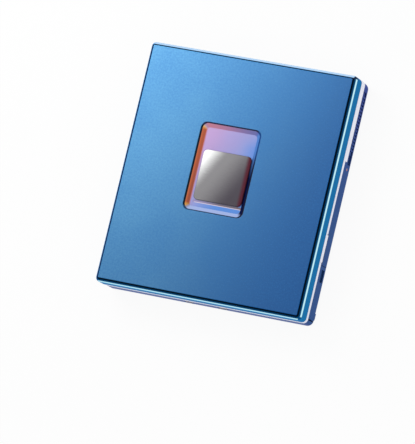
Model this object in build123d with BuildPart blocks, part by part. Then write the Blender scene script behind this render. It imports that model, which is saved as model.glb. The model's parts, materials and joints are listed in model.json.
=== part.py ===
from build123d import *
import os

# Portable minidisc player, lying on its back: X runs across the face from the hinge side
# to the side with the keys, Y up the face, Z out of the lid. All lengths are millimetres,
# all angles degrees. The origin is the centre of the back face.

# ---------------------------------------------------------------- driving dimensions
# What the player holds
cartridge_depth = 68.0
cartridge_width = 72.0
cartridge_thickness = 5.0
battery_length = 67.0
battery_width = 17.0
battery_thickness = 6.0
plug_diameter = 3.5

# Case
case_wall = 0.8
shell_corner = 2.0
back_edge_radius = 1.8
frame_height = 1.6
frame_end_rim = 1.4
lid_plate = 1.0
lid_skirt = 1.0
lid_corner = 1.5
lid_chamfer = 1.2
side_room = 2.5

# Lid window
window_width = 20.5
window_height = 28.7
window_corner = 2.0
window_x = -1.45
window_y = 2.55
bezel_sink = 0.25
bezel_slope_width = 1.2
pane_thickness = 0.4
pane_margin = 1.2
bezel_rim = 0.15
badge_left_gap = 1.0
badge_foot_gap = 2.2
badge_head_gap = 7.2
badge_thickness = 0.45
badge_corner = 1.5

# Lid hinge
knuckle_radius = 1.1
hinge_pin_radius = 0.5
hinge_pin_length = 11.0
ear_length = 4.0
ear_inset = 5.2

# Disc holder, folded from sheet
holder_sheet = 0.3
holder_rail = 6.0
finger_length = 16.0
finger_width = 4.0
finger_slot = 0.6

# Mechanism
board_thickness = 0.6
board_standoff = 0.4
chassis_thickness = 0.6
chassis_drop = 0.6
spindle_radius = 0.6
spindle_motor_radius = 8.0
turntable_radius = 4.8
turntable_rise = 1.1
hub_nose_radius = 1.9
lens_start_radius = 14.5
disc_edge_margin = 5.5
pickup_length = 9.0
pickup_height = 2.5
lens_radius = 1.7
lens_travel = 0.3
guide_radius = 0.75
support_radius = 0.6
guide_offset = 9.7
support_offset = 10.5
screw_offset = 13.9
lead_screw_radius = 0.8
gear_module = 0.18
gear_teeth = 18
pinion_teeth = 10
gear_width = 1.2
feed_motor_radius = 1.85
feed_motor_length = 10.0

# Keys, slides and sockets
open_slide_length = 20.8
open_slide_height = 2.8
open_slide_travel = 3.0
open_slide_drop = 3.3
stem_height = 1.0
stem_length = 11.2
frame_skirt_length = 26.6
latch_bar_thickness = 0.5
catch_thickness = 0.6
catch_foot_height = 0.45
nose_height = 0.8
slide_recess = 0.45
rib_pitch = 1.1
play_key_length = 9.2
play_key_height = 1.5
play_key_gap = 0.6
switch_plunger = 0.5
switch_depth = 1.5
switch_width = 2.4
key_travel = 0.4
rocker_length = 10.0
rocker_height = 2.2
hold_knob_length = 6.0
hold_travel = 3.6
end_key_z = 4.0
lamp_radius = 0.5
lamp_drop = 28.7
play_key_rise = 0.7
jack_length = 13.0
jack_width = 5.2
jack_height = 4.8
contact_pad_width = 3.0
contact_pad_height = 2.0
contact_pad_spacing = 12.0

# Fasteners
screw_radius = 0.7
screw_head_radius = 1.25
screw_head_depth = 0.55
boss_radius = 1.7
chassis_screw_radius = 0.5
chassis_screw_grip = 3.0
chassis_head = 0.45
door_pin_radius = 0.4
door_knuckle_radius = 1.2

# ---------------------------------------------------------------- clearances
running_clearance = 0.03
thread_gap = 0.02
seam_gap = 0.1
hinge_gap = 0.2
disc_play = 0.1
pocket_side_play = 0.2
front_gap = 0.3
battery_play = 0.05
key_gap = 0.15
latch_gap = 0.15
motion_gap = 0.3

# ---------------------------------------------------------------- places that follow
# Across X: the disc chain from the hinge side, and the battery chain
battery_contact_room = 1.5
door_room = 1.6
disc_chain = (2 * knuckle_radius + seam_gap + holder_sheet + disc_play + cartridge_depth
              + front_gap + lid_skirt)
battery_chain = 2 * case_wall + battery_contact_room + battery_length + door_room
case_width = max(disc_chain, battery_chain)
case_height = cartridge_width + 2 * (pocket_side_play + holder_sheet + side_room + lid_skirt)
left = -case_width / 2
right = case_width / 2
top = case_height / 2
bottom = -case_height / 2
inner_left = left + case_wall
inner_right = right - case_wall
inner_top = top - case_wall
inner_bottom = bottom + case_wall

# Up the stack: battery bay, disc holder, lid
holder_bottom = case_wall + battery_thickness + 4 * battery_play
pocket_height = cartridge_thickness + 2 * disc_play
holder_top = holder_bottom + pocket_height + 2 * holder_sheet
lid_inner_z = holder_top + hinge_gap
case_thickness = lid_inner_z + lid_plate
shell_height = holder_bottom - 0.4
frame_top = shell_height + frame_height
lid_bottom = frame_top + seam_gap

# Window: the bezel's floor and the badge that lies in it
bezel_floor_width = window_width - 2 * (bezel_rim + bezel_slope_width)
bezel_floor_height = window_height - 2 * (bezel_rim + bezel_slope_width)
badge_width = bezel_floor_width - badge_left_gap
badge_height = bezel_floor_height - badge_foot_gap - badge_head_gap
badge_x = window_x + badge_left_gap / 2
badge_y = window_y + (badge_foot_gap - badge_head_gap) / 2

# Hinge and holder
hinge_x = left + knuckle_radius
hinge_z = lid_bottom + knuckle_radius
pocket_half = cartridge_width / 2 + pocket_side_play
ear_middle_y = pocket_half - ear_inset
ear_bottom = ear_middle_y - ear_length / 2
ear_top = ear_middle_y + ear_length / 2
pin_bottom = ear_middle_y + 1.0 - hinge_pin_length / 2
pin_top = pin_bottom + hinge_pin_length
holder_ear_radius = knuckle_radius - seam_gap
holder_rear = hinge_x + knuckle_radius + seam_gap
pocket_rear = holder_rear + holder_sheet
disc_x = pocket_rear + disc_play + cartridge_depth / 2
holder_mouth = pocket_rear + disc_play + cartridge_depth - pocket_side_play

# Mid frame
ring_left = left + 2 * knuckle_radius
ring_right = right - lid_skirt
skirt_wrap = 2 * case_wall
lug_bottom = shell_height - 1.2
lug_ledge = 0.3
door_socket = 0.5

# Battery bay
battery_bottom_y = inner_bottom + 1.3
battery_top_y = battery_bottom_y + battery_width
battery_left_x = inner_left + battery_contact_room
battery_z = case_wall + battery_play
partition_y = battery_top_y + pocket_side_play
partition_thickness = 0.6
partition_top = shell_height - 0.3
bay_bottom_y = partition_y + partition_thickness + seam_gap
door_x = right - door_knuckle_radius
door_y = inner_bottom + 1.9
door_top_y = partition_y
door_inner_x = right - 1.1
notch_depth = 0.5

# Mechanism
board_z = case_wall + board_standoff
board_top = board_z + board_thickness
chassis_top = holder_bottom - chassis_drop
chassis_bottom = chassis_top - chassis_thickness
chassis_left = left + 6.4
chassis_right = right - 5.4
chassis_end_y = inner_top - 0.6
drive_z = (board_top + chassis_bottom) / 2
guide_z = drive_z + 0.4
guide_x = disc_x - guide_offset
support_x = disc_x + support_offset
lead_screw_x = disc_x - screw_offset
gear_distance = gear_module * (gear_teeth + pinion_teeth) / 2 + running_clearance
pinion_x = lead_screw_x - gear_distance
pickup_travel = cartridge_width / 2 - disc_edge_margin - lens_start_radius
pickup_bottom_y = lens_start_radius - pickup_length / 2 + 0.1
pickup_top = chassis_bottom - motion_gap
pickup_floor = pickup_top - pickup_height
shaft_clip_length = 1.4
inner_clip_y = pickup_bottom_y - motion_gap - shaft_clip_length
outer_clip_y = pickup_bottom_y + pickup_length + pickup_travel + motion_gap
screw_end_y = outer_clip_y + shaft_clip_length
gear_y = (inner_clip_y, inner_clip_y + gear_width)
motor_y = (gear_y[0] - 1.5 - feed_motor_length, gear_y[0] - 1.5)
lens_floor = pickup_top - 0.6
lens_top = chassis_top - seam_gap
lens_dome = 0.5
motor_floor = board_top + hinge_gap
motor_flange = 0.6
motor_lip = 0.7
turntable_lift = 0.4
cup_rim = 0.7
cup_depth = 0.3
hub_nose_height = 0.3
pickup_opening_half = 8.6
tab_spread_x = 24.0
tab_spread_y = 13.0
tab_width = 3.0
tab_height = holder_bottom + holder_sheet - chassis_top
board_right = right - 3.5
board_end_y = inner_top - 0.6
board_margin = 0.2
chip_height = 0.9
chassis_boss = boss_radius - 0.2
board_pad = chassis_boss + 0.6
inner_bevel = 0.7

# OPEN slide, latch and catch
open_slide_top = top - open_slide_drop
open_slide_bottom = open_slide_top - open_slide_length
recess_bottom = open_slide_bottom - open_slide_travel - seam_gap
slide_z = case_wall + 2.7
stem_bottom = (open_slide_bottom + open_slide_top - stem_length) / 2
stem_top = stem_bottom + stem_length
skirt_z = slide_z + open_slide_height / 2 + key_gap
skirt_bottom_y = top - frame_skirt_length
latch_bar_x = inner_right - 1.0
rail_x = (latch_bar_x - 1.0, latch_bar_x - hinge_gap)
catch_x = latch_bar_x - 1.0
catch_y = inner_top - 1.5
catch_foot_z = lug_bottom
nose_bottom = catch_foot_z + catch_foot_height + latch_gap
nose_z = (nose_bottom, nose_bottom + nose_height)

# Keys, lamp, sockets
play_key_bottom = door_top_y + play_key_gap + seam_gap
play_key_top = play_key_bottom + play_key_length
play_key_low = shell_height - play_key_rise - seam_gap
play_key_high = play_key_low + play_key_height
key_flange_x = inner_right - 0.7
play_switch_x = key_flange_x - key_travel - 0.6
play_switch_z = end_key_z - 0.4
rocker_pivot_y = inner_top - 1.2
rocker_ridge = 0.3
switch_face_y = rocker_pivot_y - 1.0
lamp_y = top - lamp_drop
jack_x = left + 8.0
jack_z = board_top + 2.1
jack_bottom_y = top - seam_gap - jack_length - 1.5
jack_collar_radius = jack_height / 2
volume_x = jack_x + jack_width / 2 + rocker_length / 2 + 0.8
track_x = (guide_x + support_x) / 2
hold_x = right - 17.8

# Small shares of the sheet, casting and lid work
cut_margin = 0.5
socket_depth = 0.3
socket_ease = 0.01
rocker_post_width = 1.6
rocker_post_reach = 1.0
rail_height = 1.4
rail_inset = 18.0
clip_wall = 0.7
clip_floor = 0.5
barrel_wall = 0.7
waist_width = 6.0
waist_inset = 2.6
waist_end = 1.2
fork_wall = 0.5
nut_width = 3.0
nut_height = 1.4
journal_step = 0.25
journal_stop = 0.4
hanger_width = 1.9
hanger_length = 1.2
hanger_drop = 1.0
snout_radius = 0.7
snout_length = 0.4
saddle_width = 2.6
motor_shaft_radius = 0.25
motor_shaft_depth = 3.0
window_edge = 0.2
knuckle_length = 6.6
window_relief = 0.6
thumb_width = 30.0
thumb_depth = 3.5

key_screw_gap = 5.8
rear_screw_inset = 3.7
front_screw_inset = 6.4
end_screw_inset = 3.4
bay_screw_inset = 2.0
case_screw_places = [
    (left + rear_screw_inset, top - end_screw_inset),
    (right - front_screw_inset, top - end_screw_inset),
    (left + rear_screw_inset, bay_bottom_y + bay_screw_inset),
    (right - 4.0, play_key_top + key_screw_gap),
]
chassis_screw_inset = 2.1
jack_screw_inset = 18.5
latch_screw_inset = 8.5
chassis_screw_places = [
    (chassis_left + chassis_screw_inset, bay_bottom_y + chassis_screw_inset),
    (chassis_right - chassis_screw_inset, bay_bottom_y + chassis_screw_inset),
    (chassis_left + chassis_screw_inset, top - jack_screw_inset),
    (chassis_right - chassis_screw_inset, top - latch_screw_inset),
]
# Middle and size of each chip: driver and servo left of the motor, audio and memory right, power below
left_bay_x = (inner_left + pinion_x - feed_motor_radius) / 2
right_bay_x = (support_x + board_right) / 2
chip_places = [
    (left_bay_x, spindle_motor_radius - 3.0, 9.0, 9.0),
    (left_bay_x, -spindle_motor_radius - 1.0, 7.0, 6.0),
    (right_bay_x, spindle_motor_radius - 6.0, 11.0, 11.0),
    (right_bay_x, spindle_motor_radius + 10.0, 7.0, 9.0),
    (disc_x, (bay_bottom_y - spindle_motor_radius) / 2 - 1.0, 12.0, 4.0),
]


# ---------------------------------------------------------------- helpers
def block(x_span, y_span, z_span, mode=Mode.ADD):
    # A box between two corners, joined to or cut from the piece being built.
    spans = (x_span, y_span, z_span)
    middle = [(span[0] + span[1]) / 2 for span in spans]
    size = [span[1] - span[0] for span in spans]
    with Locations(tuple(middle)):
        Box(*size, mode=mode)


def post(x, y, z_span, radius, mode=Mode.ADD):
    # An upright round post or hole.
    with Locations((x, y, (z_span[0] + z_span[1]) / 2)):
        Cylinder(radius, z_span[1] - z_span[0], mode=mode)


def rod(x, z, y_span, radius, mode=Mode.ADD):
    # A round rod or bore along Y.
    middle = (x, (y_span[0] + y_span[1]) / 2, z)
    with Locations(Location(middle, (90, 0, 0))):
        Cylinder(radius, y_span[1] - y_span[0], mode=mode)


def around(middle, length):
    return (middle - length / 2, middle + length / 2)


def mirrored(span, side):
    # The same stretch of Y on the upper (1) or lower (-1) half.
    return (span[0], span[1]) if side > 0 else (-span[1], -span[0])


# ---------------------------------------------------------------- case
def cut_end_walls():
    # Rocker, hold slide, jack and charging contact openings.
    through_top = (inner_top - cut_margin, top + cut_margin)
    for key_x in (volume_x, track_x):
        block(around(key_x, rocker_length + 2 * key_gap), through_top,
              around(end_key_z, rocker_height + 2 * seam_gap), Mode.SUBTRACT)
    hold_slot = (hold_x - seam_gap, hold_x + hold_knob_length + hold_travel + seam_gap)
    block(hold_slot, through_top, around(end_key_z, rocker_height), Mode.SUBTRACT)
    rod(jack_x, jack_z, through_top, jack_collar_radius + seam_gap, Mode.SUBTRACT)
    for side in (-1, 1):
        block(around(side * contact_pad_spacing / 2, contact_pad_width + 2 * seam_gap),
              (bottom - cut_margin, inner_bottom + cut_margin),
              around(end_key_z, contact_pad_height + 2 * seam_gap), Mode.SUBTRACT)


def cut_key_side():
    # OPEN slide recess and slot, frame skirt notch, lamp hole, key and door openings.
    outwards = (inner_right - cut_margin, right + cut_margin)
    block((right - slide_recess, right + cut_margin), (recess_bottom, open_slide_top + seam_gap),
          around(slide_z, open_slide_height + 2 * seam_gap), Mode.SUBTRACT)
    block(outwards, (stem_bottom - open_slide_travel - seam_gap, stem_top + seam_gap),
          around(slide_z, stem_height + 2 * seam_gap), Mode.SUBTRACT)
    block((right - skirt_wrap - seam_gap, right + cut_margin), (skirt_bottom_y - seam_gap, top + cut_margin),
          (skirt_z - seam_gap / 2, shell_height + cut_margin), Mode.SUBTRACT)
    with Locations(Location((right - case_wall / 2, lamp_y, slide_z), (0, 90, 0))):
        Cylinder(lamp_radius, 2 * case_wall, mode=Mode.SUBTRACT)
    block(outwards, (play_key_bottom - seam_gap, play_key_top + seam_gap),
          (play_key_low - seam_gap, shell_height + cut_margin), Mode.SUBTRACT)
    block((door_x - door_knuckle_radius - seam_gap, right + cut_margin),
          (door_y - door_knuckle_radius - seam_gap, door_top_y + seam_gap),
          (case_wall, shell_height + cut_margin), Mode.SUBTRACT)


def make_bottom_shell():
    with BuildPart() as shell:
        with BuildSketch():
            RectangleRounded(case_width, case_height, shell_corner)
        extrude(amount=shell_height)
        fillet(shell.faces().sort_by(Axis.Z)[0].edges(), radius=back_edge_radius)
        with BuildSketch(Plane.XY.offset(case_wall + inner_bevel)):
            RectangleRounded(case_width - 2 * case_wall, case_height - 2 * case_wall, shell_corner - case_wall)
        extrude(amount=shell_height, mode=Mode.SUBTRACT)
        with BuildSketch(Plane.XY.offset(case_wall + inner_bevel)):
            RectangleRounded(case_width - 2 * case_wall, case_height - 2 * case_wall, shell_corner - case_wall)
        extrude(amount=-inner_bevel, taper=45, mode=Mode.SUBTRACT)
        # Partition between the battery bay and the mechanism
        block((inner_left - seam_gap, key_flange_x - seam_gap),
              (partition_y, partition_y + partition_thickness), (case_wall, partition_top))
        # Screw bosses, and pads that carry the main board
        for x, y in case_screw_places:
            block(around(x, 2 * boss_radius), around(y, 2 * boss_radius), (case_wall, lug_bottom - seam_gap))
        for x, y in chassis_screw_places:
            block(around(x, 2 * board_pad), around(y, 2 * board_pad), (case_wall, board_z))
            block(around(x, 2 * chassis_boss), around(y, 2 * chassis_boss), (case_wall, chassis_bottom))
            post(x, y, (board_z, chassis_bottom + cut_margin), chassis_screw_radius, Mode.SUBTRACT)
        # Rail behind the latch bar, and the posts that the rocker keys lean on
        block(rail_x, (play_key_top + rail_inset, catch_y - rocker_post_reach), (case_wall, slide_z + rail_height))
        for x in (volume_x, track_x):
            block(around(x, rocker_post_width), (rocker_pivot_y - rocker_post_reach, rocker_pivot_y - rocker_ridge),
                  (case_wall, end_key_z + rocker_post_reach))
        cut_end_walls()
        cut_key_side()
        # Door pin socket, and case screw holes with their counterbores in the back
        post(door_x, door_y, (case_wall - socket_depth, case_wall + cut_margin), door_pin_radius + socket_ease,
             Mode.SUBTRACT)
        for x, y in case_screw_places:
            post(x, y, (-cut_margin, lug_bottom), screw_radius + seam_gap / 2, Mode.SUBTRACT)
            post(x, y, (-cut_margin, screw_head_depth), screw_head_radius + seam_gap / 2, Mode.SUBTRACT)
    return shell


def make_mid_frame():
    with BuildPart() as frame:
        with BuildSketch(Plane.XY.offset(shell_height)):
            RectangleRounded(case_width, case_height, lid_corner)
            with Locations(((ring_left + ring_right) / 2, 0)):
                Rectangle(ring_right - ring_left, case_height - 2 * frame_end_rim, mode=Mode.SUBTRACT)
        extrude(amount=frame_height)
        # Skirt round the front top corner, above the OPEN slide
        with BuildSketch(Plane.XY.offset(skirt_z)):
            RectangleRounded(case_width, case_height, lid_corner)
            RectangleRounded(case_width - 2 * case_wall, case_height - 2 * case_wall,
                             lid_corner - case_wall, mode=Mode.SUBTRACT)
            with Locations((right - skirt_wrap / 2, (skirt_bottom_y + top) / 2)):
                Rectangle(skirt_wrap, top - skirt_bottom_y, mode=Mode.INTERSECT)
        extrude(amount=shell_height - skirt_z)
        # Screw lugs below the ring
        for x, y in case_screw_places:
            lug_x, lug_y = lug_spans(x, y)
            block(lug_x, lug_y, (lug_bottom, shell_height + lug_ledge))
            if abs(y) < top / 2:
                rim_x = left + case_wall / 2 if x < 0 else right - case_wall / 2
                block(sorted((rim_x, x)), lug_y, (shell_height, shell_height + lug_ledge))
            post(x, y, (lug_bottom - cut_margin, shell_height), screw_radius, Mode.SUBTRACT)
        # Hinge ears with their pin holes
        for side in (-1, 1):
            ear_y = mirrored((ear_bottom, ear_top), side)
            block((left, hinge_x + knuckle_radius), ear_y, (frame_top - cut_margin, hinge_z))
            rod(hinge_x, hinge_z, ear_y, knuckle_radius)
            rod(hinge_x, hinge_z, ear_y, hinge_pin_radius + socket_ease, Mode.SUBTRACT)
        # Play key notch and the door pin's upper socket
        block((ring_right - cut_margin, right + cut_margin),
              (play_key_bottom - seam_gap, play_key_top + seam_gap),
              (shell_height - cut_margin, play_key_high + seam_gap), Mode.SUBTRACT)
        post(door_x, door_y, (shell_height - cut_margin, shell_height + door_socket), door_pin_radius + socket_ease,
             Mode.SUBTRACT)
    return frame


def lug_spans(x, y):
    # A lug reaches from its screw to the nearest wall of the shell.
    lug_x = around(x, 2 * boss_radius)
    lug_y = around(y, 2 * boss_radius)
    if x - boss_radius < ring_left + boss_radius:
        lug_x = (inner_left + seam_gap, x + boss_radius)
    if abs(y) < top / 2 and x > 0:
        lug_x = (x - boss_radius, inner_right - seam_gap)
    if y > top / 2 and x > 0:
        lug_y = (y - boss_radius, inner_top - seam_gap)
    return lug_x, lug_y


# ---------------------------------------------------------------- lid
def make_lid():
    with BuildPart() as lid:
        with BuildSketch(Plane.XY.offset(lid_bottom)):
            RectangleRounded(case_width, case_height, lid_corner)
        extrude(amount=case_thickness - lid_bottom)
        chamfer(lid.faces().sort_by(Axis.Z)[-1].edges(), length=lid_chamfer)
        block((left + lid_skirt, right - lid_skirt), (bottom + lid_skirt, top - lid_skirt),
              (lid_bottom - cut_margin, lid_inner_z), Mode.SUBTRACT)
        # Window opening with a broken edge
        with BuildSketch(Plane.XY.offset(lid_inner_z)):
            with Locations((window_x, window_y)):
                RectangleRounded(window_width, window_height, window_corner)
        extrude(amount=lid_plate, mode=Mode.SUBTRACT)
        chamfer(lid.faces().sort_by(Axis.Z)[-1].inner_wires()[0].edges(), length=window_edge)
        # Hinge edge: round about the hinge axis, with knuckles on both sides of each ear
        with BuildSketch(Plane.XZ.offset(-top - cut_margin)):
            with Locations((hinge_x - knuckle_radius, hinge_z - knuckle_radius)):
                Rectangle(2 * knuckle_radius, 2 * knuckle_radius)
            with Locations((hinge_x, hinge_z)):
                Circle(knuckle_radius, mode=Mode.SUBTRACT)
        extrude(amount=case_height + 2 * cut_margin, mode=Mode.SUBTRACT)
        for side in (-1, 1):
            notch = (ear_bottom - hinge_gap, ear_top + hinge_gap + holder_sheet + hinge_gap)
            inner_knuckle = mirrored((notch[0] - knuckle_length, notch[0]), side)
            outer_knuckle = mirrored((notch[1], top - lid_skirt), side)
            for knuckle_y in (inner_knuckle, outer_knuckle):
                rod(hinge_x, hinge_z, knuckle_y, knuckle_radius)
            block((left - cut_margin, hinge_x + knuckle_radius + cut_margin), mirrored(notch, side),
                  (lid_bottom - cut_margin, hinge_z + knuckle_radius + hinge_gap), Mode.SUBTRACT)
            bore_y = mirrored((pin_bottom - seam_gap, pin_top + seam_gap), side)
            rod(hinge_x, hinge_z, bore_y, hinge_pin_radius + running_clearance, Mode.SUBTRACT)
    return lid


def make_window_pane():
    with BuildPart() as pane:
        with BuildSketch(Plane.XY.offset(lid_inner_z - pane_thickness)):
            with Locations((window_x, window_y)):
                RectangleRounded(window_width + 2 * pane_margin, window_height + 2 * pane_margin,
                                 window_corner + pane_margin)
        extrude(amount=pane_thickness)
    return pane


def make_window_bezel():
    # A ring in the lid's opening whose inner walls slope down to the pane.
    bezel_top = case_thickness - bezel_sink
    rim_width = window_width - 2 * bezel_rim
    rim_height = window_height - 2 * bezel_rim
    rim_corner = window_corner - bezel_rim
    with BuildPart() as bezel:
        with BuildSketch(Plane.XY.offset(lid_inner_z)):
            with Locations((window_x, window_y)):
                RectangleRounded(window_width - 2 * running_clearance, window_height - 2 * running_clearance,
                                 window_corner - running_clearance)
        extrude(amount=bezel_top - lid_inner_z)
        with BuildSketch(Plane.XY.offset(lid_inner_z)):
            with Locations((window_x, window_y)):
                RectangleRounded(bezel_floor_width, bezel_floor_height, rim_corner - bezel_slope_width / 2)
        with BuildSketch(Plane.XY.offset(bezel_top)):
            with Locations((window_x, window_y)):
                RectangleRounded(rim_width, rim_height, rim_corner)
        loft(mode=Mode.SUBTRACT)
    return bezel


def make_badge_plate():
    with BuildPart() as badge:
        with BuildSketch(Plane.XY.offset(lid_inner_z)):
            with Locations((badge_x, badge_y)):
                RectangleRounded(badge_width, badge_height, badge_corner)
        extrude(amount=badge_thickness)
        chamfer(badge.faces().sort_by(Axis.Z)[-1].edges(), length=badge_thickness / 3)
    return badge


def make_lid_catch():
    # A strip that hangs from the lid's inner corner and ends in a foot under the latch nose.
    catch_span = (catch_y, catch_y + catch_thickness)
    with BuildPart() as catch:
        block((catch_x, catch_x + catch_thickness + 0.2), catch_span, (catch_foot_z, lid_inner_z))
        block((catch_x, right - lid_skirt), catch_span, (lid_bottom + hinge_gap, lid_inner_z))
        block((catch_x, latch_bar_x + latch_bar_thickness), catch_span,
              (catch_foot_z, catch_foot_z + catch_foot_height))
    return catch


def make_hinge_pins():
    with BuildPart() as pins:
        for side in (-1, 1):
            rod(hinge_x, hinge_z, mirrored((pin_bottom, pin_top), side), hinge_pin_radius)
    return pins


# ---------------------------------------------------------------- disc holder
def make_disc_holder():
    # A pocket folded from sheet: top, sides, two bottom rails, a rear stop and two hinge ears.
    outer_half = pocket_half + holder_sheet
    with BuildPart() as holder:
        with BuildSketch(Plane.YZ.offset(holder_rear)):
            with Locations((0, (holder_bottom + holder_top) / 2)):
                Rectangle(2 * outer_half, holder_top - holder_bottom)
                Rectangle(2 * pocket_half, pocket_height, mode=Mode.SUBTRACT)
            with Locations((0, holder_bottom)):
                Rectangle(2 * (pocket_half - holder_rail), 4 * holder_sheet, mode=Mode.SUBTRACT)
        extrude(amount=holder_mouth - holder_rear)
        block((holder_rear, pocket_rear), (-outer_half, outer_half), (holder_bottom, holder_top))
        # Relief round the lid's window, thumb notch at the mouth and two pressed spring fingers
        top_sheet = (holder_top - holder_sheet - cut_margin, holder_top + cut_margin)
        relief = 2 * (pane_margin + window_relief)
        block(around(window_x, window_width + relief), around(window_y, window_height + relief),
              top_sheet, Mode.SUBTRACT)
        block((holder_mouth - thumb_depth, holder_mouth + cut_margin), around(0, thumb_width),
              top_sheet, Mode.SUBTRACT)
        for side in (-1, 1):
            relief_edge = window_y + side * (window_height + relief) / 2
            finger_y = (relief_edge + side * pocket_half) / 2
            for edge in (-1, 1):
                block(around(disc_x, finger_length),
                      around(finger_y + edge * (finger_width + finger_slot) / 2, finger_slot),
                      top_sheet, Mode.SUBTRACT)
            block((disc_x + finger_length / 2 - finger_slot, disc_x + finger_length / 2),
                  around(finger_y, finger_width + 2 * finger_slot), top_sheet, Mode.SUBTRACT)
            ear_y = mirrored((ear_top + hinge_gap, ear_top + hinge_gap + holder_sheet), side)
            block((hinge_x, pocket_rear), ear_y, around(hinge_z, 2 * holder_ear_radius))
            rod(hinge_x, hinge_z, ear_y, holder_ear_radius)
            rod(hinge_x, hinge_z, ear_y, hinge_pin_radius + running_clearance, Mode.SUBTRACT)
    return holder


# ---------------------------------------------------------------- mechanism
def make_chassis_plate():
    # A pressed steel deck with the pickup opening and bent-up tabs that the cartridge rests on.
    with BuildPart() as chassis:
        with BuildSketch(Plane.XY.offset(chassis_bottom)):
            with Locations(((chassis_left + chassis_right) / 2, (bay_bottom_y + chassis_end_y) / 2)):
                Rectangle(chassis_right - chassis_left, chassis_end_y - bay_bottom_y)
            with Locations((disc_x, 0)):
                Circle(turntable_radius + hinge_gap * 2, mode=Mode.SUBTRACT)
            with Locations((disc_x, pickup_bottom_y + (pickup_length + pickup_travel) / 2)):
                Rectangle(2 * pickup_opening_half, pickup_length + pickup_travel, mode=Mode.SUBTRACT)
            with Locations((chassis_left, (jack_bottom_y + top) / 2)):
                Rectangle(2 * (jack_x + jack_width / 2 + motion_gap - chassis_left), top - jack_bottom_y + 0.6,
                          mode=Mode.SUBTRACT)
            with Locations(case_screw_places):
                Rectangle(2 * (boss_radius + motion_gap), 2 * (boss_radius + motion_gap), mode=Mode.SUBTRACT)
            with Locations(chassis_screw_places):
                Circle(chassis_screw_radius + thread_gap, mode=Mode.SUBTRACT)
        extrude(amount=chassis_thickness)
        for x in (disc_x - tab_spread_x, disc_x + tab_spread_x):
            for y in (-tab_spread_y, tab_spread_y):
                block(around(x, chassis_thickness), around(y, tab_width), (chassis_top, chassis_top + tab_height))
    return chassis


def make_case_screws():
    with BuildPart() as screws:
        for x, y in case_screw_places:
            post(x, y, (screw_head_depth, shell_height - seam_gap), screw_radius - thread_gap)
            post(x, y, (0, screw_head_depth), screw_head_radius)
    return screws


def make_chassis_screws():
    with BuildPart() as screws:
        for x, y in chassis_screw_places:
            post(x, y, (chassis_bottom - chassis_screw_grip, chassis_top), chassis_screw_radius - thread_gap)
            post(x, y, (chassis_top, chassis_top + chassis_head), 2 * chassis_screw_radius)
    return screws


def make_main_board():
    with BuildPart() as board:
        with BuildSketch(Plane.XY.offset(board_z)):
            with Locations(((inner_left + board_right) / 2, (bay_bottom_y + board_end_y) / 2)):
                Rectangle(board_right - inner_left - 2 * board_margin, board_end_y - bay_bottom_y)
            with Locations(case_screw_places):
                Rectangle(2 * (boss_radius + hinge_gap), 2 * (boss_radius + hinge_gap), mode=Mode.SUBTRACT)
            with Locations(chassis_screw_places):
                Rectangle(2 * (chassis_boss + seam_gap), 2 * (chassis_boss + seam_gap), mode=Mode.SUBTRACT)
            with Locations((jack_x, (jack_bottom_y + top) / 2)):
                Rectangle(jack_width + 2 * seam_gap, top - jack_bottom_y + 2 * seam_gap, mode=Mode.SUBTRACT)
            for x in (volume_x, track_x):
                with Locations((x, rocker_pivot_y)):
                    Rectangle(rocker_post_width + 2 * seam_gap, 3 * rocker_post_reach, mode=Mode.SUBTRACT)
        extrude(amount=board_thickness)
    return board


def make_board_chips():
    # The chips that a servo, audio and memory section need, soldered to the board's top.
    with BuildPart() as chips:
        for x, y, width, height in chip_places:
            block(around(x, width), around(y, height), (board_top, board_top + chip_height))
    return chips


def make_tact_switches():
    # Small switches under the ends of both rockers and behind the play key's leg.
    with BuildPart() as switches:
        for key_x in (volume_x, track_x):
            for side in (-1, 1):
                x = key_x + side * (rocker_length / 2 - 1.6)
                block(around(x, switch_width), (switch_face_y - switch_depth, switch_face_y),
                      (board_top, end_key_z + 0.8))
                block(around(x, 0.9), (switch_face_y, switch_face_y + switch_plunger), around(end_key_z, 0.9))
        play_y = (play_key_bottom + play_key_top) / 2
        block((play_switch_x - 1.8, play_switch_x), around(play_y, 2.8), (board_top, play_switch_z + 0.8))
        block((play_switch_x, play_switch_x + switch_plunger), around(play_y, 0.9), around(play_switch_z, 0.9))
    return switches


def make_spindle_motor():
    # A flat brushless motor whose flange seats against the underside of the chassis.
    with BuildPart() as motor:
        post(disc_x, 0, (motor_floor, chassis_bottom - motor_flange), spindle_motor_radius - motor_lip)
        post(disc_x, 0, (chassis_bottom - motor_flange, chassis_bottom), spindle_motor_radius)
        post(disc_x, 0, (motor_floor + 0.4, chassis_top), spindle_radius + running_clearance, Mode.SUBTRACT)
    return motor


def make_turntable():
    # Shaft, cup and tapered nose turned as one piece.
    nose_top = chassis_top + turntable_lift + turntable_rise + hub_nose_height
    cup_bottom = chassis_top + turntable_lift
    cup_top = cup_bottom + turntable_rise
    with BuildPart() as turntable:
        with BuildSketch(Plane.XZ):
            with BuildLine():
                Polyline(
                    (0, motor_floor + 0.6), (spindle_radius, motor_floor + 0.6), (spindle_radius, cup_bottom),
                    (turntable_radius, cup_bottom), (turntable_radius, cup_top),
                    (turntable_radius - cup_rim, cup_top), (turntable_radius - cup_rim, cup_top - cup_depth),
                    (hub_nose_radius, cup_top - cup_depth), (hub_nose_radius - cup_rim, nose_top),
                    (0, nose_top), close=True)
            make_face()
        revolve(axis=Axis.Z)
    turntable.part = turntable.part.moved(Location((disc_x, 0, 0)))
    return turntable


def make_guide_rods():
    with BuildPart() as rods:
        rod(guide_x, guide_z, (inner_clip_y, outer_clip_y + shaft_clip_length), guide_radius)
    return rods


def make_support_rod():
    with BuildPart() as support:
        rod(support_x, guide_z, (inner_clip_y, outer_clip_y + shaft_clip_length), support_radius)
    return support


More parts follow.
